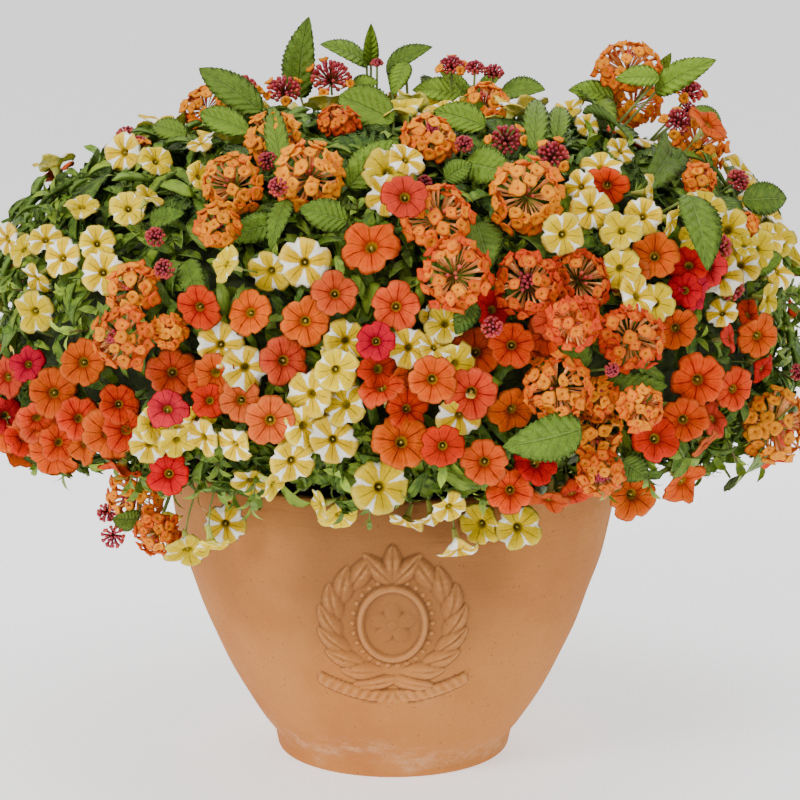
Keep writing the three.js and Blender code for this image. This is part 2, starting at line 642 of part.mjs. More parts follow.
function touches(ball) {
  const { x, y, z } = ball.point;
  if (Math.hypot(x, y) < potRadius(z) + 4 && z < POT.height + 3) return true;
  for (let i = -1; i <= 1; i += 1) {
    for (let j = -1; j <= 1; j += 1) {
      for (let k = -1; k <= 1; k += 1) {
        const near = placedBalls.get(cellKey(cellOf(x) + i, cellOf(y) + j, cellOf(z) + k)) ?? [];
        const hit = near.some((other) => other.point.distanceTo(ball.point) < other.size + ball.size);
        if (hit) return true;
      }
    }
  }
  return false;
}

const NUDGES = [0, 3, -3, 6, -6, 9, -9, 12, -12, 15, -15, 18, -18, 21, -21, 24];

function nudged(piece, distance) {
  const moved = { ...piece };
  for (const key of ["centre", "foot", "tip"]) {
    if (piece[key]) moved[key] = along(piece[key], piece.slide, distance);
  }
  return moved;
}

// Moves a piece in or out until it is clear, or to where it is least crowded.
function settle(piece) {
  let [best, fewest] = [null, Infinity];
  for (const distance of NUDGES) {
    const moved = nudged(piece, distance);
    const balls = ballsOf(moved);
    const count = balls.filter(touches).length;
    if (count < fewest) [best, fewest] = [{ moved, balls }, count];
    if (count === 0) break;
  }
  keepBalls(best.balls);
  return best.moved;
}

// ---------------------------------------------------------------- pot and soil

// Radius of a wall at a height, from its points ordered upwards.
function radiusAt(wall, height) {
  const above = wall.findIndex(([, level]) => level >= height);
  if (above <= 0) return above === 0 ? wall[0][0] : wall[wall.length - 1][0];
  const [[r0, z0], [r1, z1]] = [wall[above - 1], wall[above]];
  return r0 + ((r1 - r0) * (height - z0)) / (z1 - z0);
}

const potRadius = (height) => radiusAt(POT.outline, height);

// Lathed about the Z axis from points of radius and height.
function lathe(points, segments) {
  const outline = points.map(([radius, height]) => new THREE.Vector2(radius, height));
  const geometry = new THREE.LatheGeometry(outline, segments).rotateX(Math.PI / 2);
  return solidFromGeometry(geometry);
}

// A point on the pot's front wall: across and up in mm, standing proud of it.
function onWall(across, height, proud) {
  const radius = potRadius(height) + proud;
  const azimuth = -Math.PI / 2 + across / potRadius(height);
  return vec(radius * Math.cos(azimuth), radius * Math.sin(azimuth), height);
}

// A plain oval cartouche in a laurel wreath, with a palmette over it and a ribbon under it.
const RELIEF = {
  height: 113,
  sunk: -2.5,
  cartouche: [20, 25],
  wreath: [37, 37],
  wreathLeaf: [27, 13],
  leaves: 7,
  palmette: { height: 26, reach: 11, leaf: [28, 12] },
  ribbon: { across: 11, height: -41, leaf: [32, 10] },
};

function wallRing(halfAcross, halfUp, proud, sides = 14) {
  return Array.from({ length: sides }, (_, i) => {
    const angle = (2 * Math.PI * i) / sides;
    const [across, up] = [halfAcross * Math.cos(angle), halfUp * Math.sin(angle)];
    return onWall(across, RELIEF.height + up, proud);
  });
}

// A raised leaf of the wreath or palmette, from its middle, size and slope.
function wallLeaf(across, up, [length, breadth], slope) {
  const [c, s] = [Math.cos(slope), Math.sin(slope)];
  const put = (forward, side, proud) =>
    onWall(across + forward * c - side * s, RELIEF.height + up + forward * s + side * c, proud);
  const base = [
    put(-length / 2, 0, RELIEF.sunk), put(0, -breadth / 2, RELIEF.sunk),
    put(length / 2, 0, RELIEF.sunk), put(0, breadth / 2, RELIEF.sunk),
  ];
  return loft([base, [put(0.1 * length, 0, 3.6)]]);
}

function reliefSolids() {
  const [halfAcross, halfUp] = RELIEF.cartouche;
  const boss = loft([
    wallRing(halfAcross, halfUp, RELIEF.sunk),
    wallRing(halfAcross, halfUp, 2.2),
    wallRing(halfAcross - 3, halfUp - 3, 2.8),
    wallRing(halfAcross - 5, halfUp - 5, 1.2),
    wallRing(halfAcross - 9, halfUp - 10, 3),
  ]);
  const solids = [boss];
  for (const side of [-1, 1]) {
    for (let i = 0; i < RELIEF.leaves; i += 1) {
      const angle = degrees(-72 + (142 * (i + 0.5)) / RELIEF.leaves);
      const across = side * RELIEF.wreath[0] * Math.cos(angle);
      const up = RELIEF.wreath[1] * Math.sin(angle);
      const rising = angle + degrees(62);
      solids.push(wallLeaf(across, up, RELIEF.wreathLeaf, side > 0 ? rising : Math.PI - rising));
    }
    const { across, height, leaf } = RELIEF.ribbon;
    solids.push(wallLeaf(side * across, height, leaf, side * degrees(-14)));
  }
  const { height, reach, leaf } = RELIEF.palmette;
  for (const lean of [-42, 0, 42]) {
    const angle = degrees(90 + lean);
    solids.push(wallLeaf(reach * Math.cos(angle), height + reach * Math.sin(angle), leaf, angle));
  }
  return solids;
}

function potSolid() {
  const rim = [[138.6, POT.height], [132.4, POT.height]];
  const floor = [[0, POT.floor]];
  const outline = [[0, 0], [POT.footRadius, 0], ...POT.outline, ...rim, ...POT.inside, ...floor];
  let pot = lathe(outline, POT.segments);
  for (const relief of reliefSolids()) pot = pot.add(relief);
  for (let i = 0; i < 3; i += 1) {
    const azimuth = Math.PI / 2 + (i * 2 * Math.PI) / 3;
    const centre = vec(Math.cos(azimuth), Math.sin(azimuth), 0).multiplyScalar(POT.drainCircle);
    const up = vec(0, 0, 1);
    const drain = loft([
      ringOfPoints(along(centre, up, -5), up, POT.drainRadius, 8),
      ringOfPoints(along(centre, up, POT.floor + 5), up, POT.drainRadius, 8),
    ]);
    pot = pot.subtract(drain);
  }
  return pot;
}

function soilSolid() {
  const inside = [...POT.inside].reverse();
  const inset = GAP + 0.15;
  const wall = inside
    .filter(([, height]) => height < SOIL.edge)
    .map(([radius, height]) => [radius - inset - 0.5, height + GAP]);
  const outline = [
    [0, SOIL.bottom], ...wall, [radiusAt(inside, SOIL.edge) - inset, SOIL.edge],
    [90, SOIL.edge + 2], [0, SOIL.middle],
  ];
  let soil = lathe(outline, POT.segments);
  for (const spray of sprays) {
    const hole = loft([
      stemRing(spray, STEM.halfWidth + STEM.clearance, SOIL.holeFloor),
      stemRing(spray, STEM.halfWidth + STEM.clearance, SOIL.middle + 10),
    ]);
    soil = soil.subtract(hole);
  }
  return soil;
}

// ---------------------------------------------------------------- building the plant

function flowerParts(piece) {
  if (piece.kind === "umbel") return { head: umbelSolid(piece), share: HUB_SHARE };
  if (piece.kind === "bud") return { head: budHeadSolid(piece), share: 0.74 };
  return { head: bloomSolid(piece) };
}

// Whether a solid crosses one that is already there in another node.
const accepted = [];
function crosses(solid, node) {
  const box = solid.boundingBox();
  return accepted.some((other) => {
    if (other.node === node) return false;
    for (let i = 0; i < 3; i += 1) {
      if (box.min[i] > other.box.max[i] || box.max[i] < other.box.min[i]) return false;
    }
    return solid.intersect(other.solid).volume() > 1e-5;
  });
}

function accept(solid, node) {
  accepted.push({ solid, node, box: solid.boundingBox() });
}

const SHRINK = [1, 0.88, 0.76, 0.64];

// Adds a piece to its spray, a little smaller where it would cross another spray, and returns
// its head where that stays apart. A piece that crosses at every size is left out.
function addPiece(piece, spray, ownNode) {
  for (const share of SHRINK) {
    const smaller = { ...piece };
    if (piece.kind === "leaf") {
      smaller.tip = mix(piece.foot, piece.tip, share);
      smaller.breadth = piece.breadth * share;
      const leaf = leafSolid(smaller);
      if (crosses(leaf, spray.name)) continue;
      spray.pieces.push(leaf);
      accept(leaf, spray.name);
      return;
    }
    smaller.radius = piece.radius * share;
    const { head, share: under } = flowerParts(smaller);
    const headNode = ownNode ?? spray.name;
    if (crosses(head, headNode)) continue;
    if (under === undefined) {
      spray.pieces.push(head);
      accept(head, spray.name);
      return;
    }
    const stalk = stalkSolid(smaller, under, !ownNode);
    if (crosses(stalk, spray.name)) continue;
    if (ownNode && stalk.intersect(head).volume() > 1e-5) continue;
    spray.pieces.push(stalk);
    accept(stalk, spray.name);
    accept(head, headNode);
    if (ownNode) return head;
    spray.pieces.push(head);
    return;
  }
}

const plan = [
  ...UMBELS.map((row) => plannedFlower("umbel", row)),
  ...YELLOW_BLOOMS.map((row) => plannedFlower("yellow", row)),
  ...ORANGE_BLOOMS.map((row) => plannedFlower("orange", row)),
  ...RED_BLOOMS.map((row) => plannedFlower("red", row)),
  ...BUD_HEADS.map((row) => plannedFlower("bud", row)),
  ...LARGE_LEAVES.map(plannedLeaf),
  ...surroundingPieces(),
].map(settle);

for (const spray of sprays) {
  const heart = sprayHeart(spray);
  spray.pieces.push(heart);
  accept(heart, spray.name);
}

const OWN_HEADS = 34;
const heads = [];
for (const piece of plan) {
  const where = piece.centre ?? mix(piece.foot, piece.tip, 0.3);
  const spray = sprayAt(where);
  piece.root = rootIn(spray, piece.foot ?? where);
  const alone = piece.kind === "umbel" && heads.length < OWN_HEADS;
  const name = `umbel_${String(heads.length + 1).padStart(2, "0")}`;
  const head = addPiece(piece, spray, alone ? name : undefined);
  if (head) heads.push({ name, solid: head });
}

// ---------------------------------------------------------------- the exported group

const lantana = new THREE.Group();

function addNode(name, solid, material) {
  const mesh = solid.getMesh();
  const geometry = new THREE.BufferGeometry();
  geometry.setAttribute("position", new THREE.BufferAttribute(mesh.vertProperties, 3));
  geometry.setIndex(new THREE.BufferAttribute(mesh.triVerts, 1));
  const flat = geometry.toNonIndexed();
  flat.computeVertexNormals();
  const node = new THREE.Mesh(flat, new THREE.MeshStandardMaterial(material));
  node.name = name;
  lantana.add(node);
}

addNode("pot", potSolid(), { color: 0xbf8a5c, roughness: 0.85, metalness: 0 });
addNode("soil", soilSolid(), { color: 0x3a2a1e, roughness: 1, metalness: 0 });
for (const spray of sprays) {
  const joined = spray.pieces.reduce((sum, solid) => sum.add(solid));
  const largest = joined.decompose().reduce((a, b) => (a.volume() > b.volume() ? a : b));
  addNode(spray.name, largest, { color: 0x4f7d2b, roughness: 0.6, metalness: 0 });
}
for (const { name, solid } of heads) {
  addNode(name, solid, { color: 0xef8428, roughness: 0.6, metalness: 0 });
}

export default lantana;
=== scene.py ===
"""A terracotta bowl pot filled with lantana and calibrachoa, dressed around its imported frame."""

import logging
import math
from dataclasses import dataclass, field, replace
from enum import Enum
from typing import Callable, Sequence, Union

import bmesh
import bpy
import numpy as np
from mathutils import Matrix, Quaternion, Vector


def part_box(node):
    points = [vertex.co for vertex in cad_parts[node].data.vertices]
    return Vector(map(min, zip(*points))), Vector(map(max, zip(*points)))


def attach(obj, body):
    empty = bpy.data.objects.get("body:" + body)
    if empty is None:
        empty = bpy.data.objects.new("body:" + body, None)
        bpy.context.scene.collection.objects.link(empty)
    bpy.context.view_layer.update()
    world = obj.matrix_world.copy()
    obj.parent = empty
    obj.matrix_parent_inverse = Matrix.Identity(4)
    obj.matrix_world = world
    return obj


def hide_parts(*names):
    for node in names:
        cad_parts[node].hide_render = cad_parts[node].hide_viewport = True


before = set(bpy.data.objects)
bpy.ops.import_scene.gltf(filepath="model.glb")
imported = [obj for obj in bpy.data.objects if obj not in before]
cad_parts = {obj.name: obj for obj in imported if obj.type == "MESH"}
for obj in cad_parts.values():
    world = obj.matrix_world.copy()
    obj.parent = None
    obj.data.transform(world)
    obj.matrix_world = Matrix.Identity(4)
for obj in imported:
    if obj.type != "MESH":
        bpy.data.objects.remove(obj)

LOG = logging.getLogger("lantana")
MM = 0.001
TURN = 2 * math.pi
GOLDEN_TURN = 2.39996
GOLDEN_SHARE = 0.618

Output = bpy.types.NodeSocket
Socket = Union[Output, float, tuple]
Shape = Callable[[np.ndarray, np.ndarray], np.ndarray]


# ---- the mound's form


class Draws:
    """One repeatable stream of numbers."""

    def __init__(self, seed: int) -> None:
        """Starts the stream at a seed."""
        self.state = seed

    def one(self) -> float:
        """The next number from 0 to 1."""
        self.state = (self.state * 1664525 + 1013904223) % 4294967296
        return self.state / 4294967296

    def between(self, low: float, high: float) -> float:
        """The next number from low to high."""
        return low + (high - low) * self.one()

    def many(self, count: int, low: float, high: float) -> np.ndarray:
        """The next numbers from low to high."""
        return np.array([self.between(low, high) for _ in range(count)])

    def wobble(self, reach: float) -> Vector:
        """A step whose three parts go from -reach to reach."""
        return Vector(self.many(3, -reach, reach))


def across_axes(axis: Vector, spin: float = 0.0) -> tuple[Vector, Vector]:
    """Two directions square to an axis and to each other.

    Args:
        axis: the axis, of length one.
        spin: how far they are turned about it, in radians.

    Returns:
        The direction to the right and the direction upwards.
    """
    guide = Vector((0, 0, 1)) if abs(axis.z) < 0.9 else Vector((0, 1, 0))
    right = guide.cross(axis).normalized()
    right.rotate(Quaternion(axis, spin))
    return right, axis.cross(right)


@dataclass(frozen=True)
class Mound:
    """The rounded form that the plants fill: an oval in plan, a rounded box in section (mm)."""

    half_width: float = 258.0
    half_depth: float = 205.0
    equator: float = 250.0
    rise: float = 155.0
    drop: float = 85.0
    boxiness: float = 2.8
    skirt_angle: float = 2.2
    probe: float = 0.5

    def radius_at(self, azimuth: float) -> float:
        """The oval's radius at an azimuth."""
        return 1 / math.hypot(math.cos(azimuth) / self.half_width, math.sin(azimuth) / self.half_depth)

    def level(self, point: Vector) -> float:
        """Below zero inside the mound, above zero outside."""
        around = math.hypot(point.x, point.y) / self.radius_at(math.atan2(point.y, point.x))
        height = point.z - self.equator
        reach = self.rise if height > 0 else self.drop
        return around ** self.boxiness + abs(height / reach) ** self.boxiness - 1

    def normal(self, point: Vector) -> Vector:
        """The way out of the mound at a point."""
        base = self.level(point)
        steps = (Vector((self.probe, 0, 0)), Vector((0, self.probe, 0)), Vector((0, 0, self.probe)))
        return Vector([self.level(point + step) - base for step in steps]).normalized()

    def point(self, azimuth: float, angle: float, depth: float) -> Vector:
        """A point of the mound inset by a depth.

        Args:
            azimuth: the direction in plan.
            angle: how far down from the top, in radians.
            depth: how far under the surface.

        Returns:
            The point, in millimetres.
        """
        power = 2 / self.boxiness
        radius = (self.radius_at(azimuth) - depth) * max(math.sin(angle), 0.0) ** power
        level = abs(math.cos(angle)) ** power
        height = (self.rise - depth) * level if math.cos(angle) > 0 else (depth - self.drop) * level
        return Vector((radius * math.cos(azimuth), radius * math.sin(azimuth), self.equator + height))

    def place(self, point: Vector) -> tuple[float, float]:
        """Azimuth of a point, and its reach from the top (0) to the hem (1)."""
        azimuth = math.atan2(point.y, point.x)
        power = self.boxiness / 2
        height = point.z - self.equator
        around = (math.hypot(point.x, point.y) / self.radius_at(azimuth)) ** power
        level = abs(height / (self.rise if height > 0 else self.drop)) ** power
        return azimuth, math.atan2(around, math.copysign(level, height)) / self.skirt_angle


MOUND = Mound()


@dataclass(frozen=True)
class Spray:
    """One leafy stem out of the soil and the part of the mound that it feeds."""

    name: str
    ring: int
    azimuth: float
    width: float
    start: float
    end: float

    FOOT, FOOT_SPREAD = 14, 96
    BEND_OUT, BEND_LEVEL, BEND_FALL = 1.25, 330, 64
    ROOT_RISE = 0.88
    ROOT_SPREAD = 0.4
    CORE_DEPTH = 27.0
    SOIL_TOP = 176.0

    @property
    def middle(self) -> float:
        """The spray's reach, halfway between its inner and outer bounds."""
        return (self.start + self.end) / 2

    @classmethod
    def fountain(cls, azimuth: float, reach: float, rise: float) -> Vector:
        """A point of a stem that rises from the soil and arches outwards.

        Args:
            azimuth: the stem's direction in plan.
            reach: where it ends, from the top of the mound (0) to its hem (1).
            rise: how far along the stem, from 0 to 1.

        Returns:
            The point, in millimetres.
        """
        foot = cls.FOOT + cls.FOOT_SPREAD * reach
        end = MOUND.point(azimuth, reach * MOUND.skirt_angle, cls.CORE_DEPTH)
        fall, bend, lift = (1 - rise) ** 2, 2 * rise * (1 - rise), rise ** 2
        radius = fall * foot + bend * cls.BEND_OUT * foot + lift * math.hypot(end.x, end.y)
        level = cls.BEND_LEVEL - cls.BEND_FALL * reach
        height = fall * cls.SOIL_TOP + bend * level + lift * end.z
        return Vector((radius * math.cos(azimuth), radius * math.sin(azimuth), height))

    def off(self, azimuth: float) -> float:
        """The turn from the spray's middle to an azimuth."""
        turn = azimuth - self.azimuth
        return math.atan2(math.sin(turn), math.cos(turn))

    def root(self, point: Vector) -> Vector:
        """Where in the spray's heart a piece at a point springs from."""
        azimuth, reach = MOUND.place(point)
        turn = softly_held(self.off(azimuth), self.width * self.ROOT_SPREAD)
        down = softly_held(reach - self.middle, (self.end - self.start) * self.ROOT_SPREAD)
        return self.fountain(self.azimuth + turn, self.middle + down, self.ROOT_RISE)


def softly_held(value: float, limit: float) -> float:
    """A value held softly within a limit."""
    return limit * math.tanh(value / limit)


# Each ring of sprays: where it starts and ends, from the mound's top to its hem, and how many it has.
RINGS = ((0.02, 0.3, 5), (0.3, 0.62, 8), (0.62, 1.0, 11))


def grown_sprays() -> list[Spray]:
    """The sprays in three rings, from the crown of the mound to its skirt."""
    sprays: list[Spray] = []
    for ring, (start, end, count) in enumerate(RINGS):
        for i in range(count):
            name = f"spray_{len(sprays) + 1:02d}"
            sprays.append(Spray(name, ring, -math.pi / 2 + i * TURN / count, TURN / count, start, end))
    return sprays


SPRAYS = grown_sprays()


def spray_at(point: Vector) -> Spray:
    """The spray that feeds a point of the mound."""
    azimuth, reach = MOUND.place(point)
    ring = sum(reach >= end for _, end, _ in RINGS[:-1])
    return min((s for s in SPRAYS if s.ring == ring), key=lambda s: abs(s.off(azimuth)))


# ---- the planting plan


class Kind(Enum):
    """What a piece of the planting is."""

    UMBEL = "umbel"
    YELLOW = "yellow"
    ORANGE = "orange"
    RED = "red"
    BUD = "bud"
    LEAF = "leaf"


# The planting plan is an elevation seen from EYE. Its u runs right and its v runs down.
EYE = Vector((4.3, -1474.2, 500.5))
EYE_PITCH = 0.187
PLAN_CENTRE = 400
PLAN_FOCUS = 2400
SIGHT_STEPS = range(1180, 1600, 4)

# Calibrachoa blooms: u, v, breadth in plan steps, then where it matters turn (degrees to the
# right of straight ahead), rise (degrees up) and nearer (mm towards EYE).
YELLOW_BLOOMS = (
    (122, 152, 40), (157, 160, 34, 20, 20), (128, 208, 36), (61, 257, 38), (97, 243, 36),
    (103, 272, 42, -10, 5, 3), (33, 312, 42), (5, 240, 38, -60, 10), (22, 248, 34, -50, 20),
    (45, 238, 34, -30, 60, -6), (82, 205, 34, 0, 70), (150, 195, 30, 40, 50), (35, 280, 34, -30, -40),
    (200, 176, 28, 60, 20), (200, 142, 28, 0, 75), (305, 263, 48), (270, 272, 42, -10, 0, -3),
    (224, 263, 36, -60, 10), (220, 345, 43), (242, 372, 36, 0, 0, -8), (338, 350, 34, 0, 50, -6),
    (337, 371, 44), (338, 397, 44, 0, 0, 4), (333, 440, 46), (292, 462, 42), (233, 446, 40, -40, -10),
    (295, 435, 36, 0, 30, -8), (200, 420, 36, 20, -30, -8), (180, 435, 36, -20, -40, -8),
    (225, 525, 40, 10, -20), (188, 553, 44, 0, -35), (165, 530, 42, 30, -25), (212, 548, 38, 10, -60),
    (275, 485, 34, 30, -20), (250, 483, 36, 0, -30, -6), (318, 505, 34, -50, 0),
    (340, 517, 38, 30, -20), (381, 487, 54), (405, 524, 34, -20, -70), (433, 520, 34, 20, -70),
    (450, 508, 32, 40, -10), (480, 525, 42), (519, 528, 46, 10, -5), (459, 553, 42, 20, -65),
    (461, 417, 48, 0, 0, -6), (388, 170, 50), (407, 158, 36, 30, 30, -4), (383, 196, 40, -20, 10, -3),
    (435, 346, 34, 20, 40), (435, 318, 30, 50, 10), (568, 108, 34, -20, 50), (588, 125, 26, 40, 30),
    (602, 165, 40, 20, 40, -6), (622, 150, 30, 60, 30), (580, 186, 32, -50, 20), (564, 235, 42),
    (592, 210, 40, 0, 0, -4), (621, 229, 40, 0, 10, 4), (643, 216, 38, 10, 10, -6),
    (705, 208, 42), (652, 192, 34, 60, 10), (674, 222, 34, 60, -10), (780, 270, 40, 30, 10),
    (770, 300, 34, 40, 10), (745, 245, 26, 20, 50), (722, 312, 30, 0, 20, -4), (655, 302, 38, 0, 0, -4),
)
ORANGE_BLOOMS = (
    (198, 308, 46), (249, 312, 46), (305, 322, 48), (285, 361, 50), (335, 293, 44), (370, 245, 57),
    (396, 306, 48), (82, 362, 48), (52, 393, 50), (119, 404, 40), (108, 435, 54), (52, 455, 52),
    (5, 378, 44, -30, 0), (5, 428, 48, -20, 0), (172, 372, 50), (207, 380, 40, 0, 0, -8),
    (120, 472, 44, 0, -62), (240, 400, 44), (270, 421, 50), (402, 441, 57), (433, 380, 50),
    (408, 408, 44, 0, 0, -8), (381, 385, 48, 0, 50), (472, 394, 54), (476, 351, 50, 0, 30),
    (512, 345, 46), (514, 411, 50, 20, 5), (484, 463, 48), (510, 491, 46), (607, 187, 42, 0, 0, 3),
    (655, 255, 47), (676, 329, 44), (759, 337, 44, 40, 0), (750, 314, 34, 30, 20, -6), (699, 381, 54),
    (735, 390, 44, 10, 0, -3), (684, 421, 50), (634, 495, 54, 10, -5), (706, 445, 34, 60, -20),
    (773, 462, 34, 0, -70), (573, 497, 44, 0, -60), (548, 503, 42, -30, -60), (540, 345, 34, 0, 60, -8),
)
RED_BLOOMS = (
    (405, 196, 44, 20, 45, 4), (376, 341, 38), (27, 364, 34), (168, 407, 42, 0, 30), (168, 474, 40),
    (443, 447, 42), (694, 291, 38), (731, 338, 32, 60, 10), (764, 370, 34, 50, 0),
    (715, 418, 36, 65, 0), (656, 438, 45), (537, 462, 44, 20, 20, -5),
)

# Lantana umbels, in the same columns as the blooms.
UMBELS = (
    (310, 177, 72, 0, 25), (233, 185, 64, -20, 25), (272, 138, 58, 0, 40), (205, 107, 50, -20, 45),
    (133, 290, 55, -20, 15), (122, 338, 62, -25, 5), (218, 227, 46, 0, 30, -4), (168, 331, 34),
    (430, 138, 56, 10, 50), (438, 218, 68, 0, 25), (455, 275, 72, 0, 15), (527, 195, 78, 0, 20),
    (527, 283, 68, -10, 15), (580, 280, 64, 20, 20), (572, 322, 54, 0, 0, -3), (631, 338, 66, 10, 10),
    (557, 388, 66, 0, 5), (600, 395, 36, 0, 20), (596, 434, 54, 0, 0), (600, 473, 46, 0, -10),
    (642, 408, 46, 10, 10), (775, 425, 74, 20, 10), (628, 68, 66, 0, 55), (634, 103, 52, 0, 30),
    (700, 147, 56, 20, 30), (484, 105, 50, 0, 50), (745, 226, 28, 30, 20), (135, 497, 58, -15, 0),
    (158, 534, 46, 0, -20), (338, 122, 42, 0, 65), (700, 180, 34, 20, 20),
)

# How far each umbel of the plan has aged: young ones are yellow-orange, old ones red and dense.
UMBEL_AGES = (
    0.15, 0.25, 0.2, 0.35, 0.4, 0.6, 0.3, 0.4, 0.4, 0.6, 0.65, 0.3, 0.85, 0.95, 0.9, 0.8, 0.5, 0.5, 0.45,
    0.6, 0.5, 0.1, 0.35, 0.3, 0.35, 0.4, 0.6, 0.4, 0.6, 0.7, 0.5,
)

# Closed lantana bud heads, in the same columns.
BUD_HEADS = (
    (155, 237, 22), (164, 269, 22), (243, 89, 35, -10, 50), (284, 90, 36, 0, 50), (331, 77, 44, 0, 50),
    (268, 161, 22), (278, 187, 22), (107, 513, 22), (113, 537, 26), (452, 66, 28, 0, 60),
    (475, 68, 22, 0, 60), (494, 72, 22, 10, 60), (506, 139, 34, 0, 30), (464, 144, 20),
    (553, 156, 34, 0, 30), (492, 327, 24), (424, 183, 18), (689, 91, 30, 20, 45),
    (678, 122, 30, 10, 30), (688, 109, 18, 20, 30), (738, 180, 26, 30, 30), (720, 247, 28, 20, 20),
    (731, 287, 30, 20, 10), (797, 372, 18, 30, 10), (377, 63, 14, 0, 70), (612, 370, 16),
)

# Large lantana leaves: foot u, v, tip u, v, breadth, nearer.
LARGE_LEAVES = (
    (300, 98, 308, 16, 38), (262, 112, 199, 67, 34), (250, 132, 203, 114, 28), (284, 175, 272, 108, 24),
    (187, 135, 151, 124, 24), (150, 222, 186, 213, 22), (187, 260, 203, 307, 28), (287, 200, 270, 247, 24),
    (280, 222, 222, 240, 30, -4), (348, 222, 299, 208, 34, -4), (368, 64, 322, 42, 30),
    (371, 66, 371, 22, 16), (386, 72, 432, 46, 28), (406, 62, 393, 94, 22), (395, 122, 343, 98, 44, -3),
    (348, 188, 398, 140, 40, -2), (462, 95, 413, 88, 34), (498, 96, 546, 91, 34),
    (486, 127, 434, 110, 32), (534, 152, 538, 97, 26), (466, 163, 514, 175, 42, -2),
    (530, 187, 532, 150, 24), (556, 226, 588, 180, 30), (614, 97, 568, 91, 26), (580, 100, 614, 128, 30),
    (655, 92, 713, 59, 30), (688, 110, 722, 133, 32), (670, 145, 643, 192, 40), (742, 200, 788, 198, 34),
    (738, 266, 782, 257, 30), (688, 195, 708, 268, 44, -2), (476, 222, 490, 268, 42, -2),
    (496, 320, 493, 277, 26, 3), (472, 300, 456, 334, 28, 3), (588, 367, 549, 319, 34, 6),
    (603, 386, 668, 386, 28, 6), (582, 428, 504, 447, 48, 2), (445, 180, 472, 162, 26, -4),
    (556, 142, 560, 110, 22), (660, 78, 616, 79, 24, 4), (652, 80, 671, 54, 16),
    (140, 518, 112, 518, 28), (622, 460, 648, 478, 30), (470, 102, 440, 68, 24), (478, 97, 504, 74, 22),
    (348, 92, 378, 82, 28), (718, 235, 690, 262, 34, -3), (720, 196, 738, 222, 28),
)


# A leaf counts as being at this share of its length.
LEAF_PLACE = 0.3


@dataclass
class Sprig:
    """One flower, head or leaf of the planting, in millimetres.

    A leaf has a foot, a tip, a normal and a breadth. The others have a centre, an axis, a spin
    and a radius.
    """

    kind: Kind
    slide: Vector
    centre: Vector = field(default_factory=Vector)
    axis: Vector = field(default_factory=Vector)
    spin: float = 0.0
    radius: float = 0.0
    tip: Vector = field(default_factory=Vector)
    normal: Vector = field(default_factory=Vector)
    breadth: float = 0.0
    extra: bool = False

    @property
    def place(self) -> Vector:
        """Where the piece counts as being: a leaf's lower third, a flower's centre."""
        return self.centre.lerp(self.tip, LEAF_PLACE) if self.kind is Kind.LEAF else self.centre

    def moved(self, distance: float) -> "Sprig":
        """The same piece, moved along its slide."""
        step = self.slide * distance
        return replace(self, centre=self.centre + step, tip=self.tip + step)


DOME_FLATNESS = 0.72


def on_dome(sprig: Sprig, polar: float, turn: float, distance: float) -> Vector:
    """A point of a head's flattened dome.

    Args:
        sprig: the head.
        polar: degrees away from its axis.
        turn: degrees around it.
        distance: the dome's radius there.

    Returns:
        The point, in millimetres.
    """
    right, up = across_axes(sprig.axis, sprig.spin)
    across, height = math.sin(math.radians(polar)), math.cos(math.radians(polar))
    angle = math.radians(turn)
    out = right * (across * math.cos(angle)) + up * (across * math.sin(angle))
    return sprig.centre + (out + sprig.axis * (height * DOME_FLATNESS)) * distance


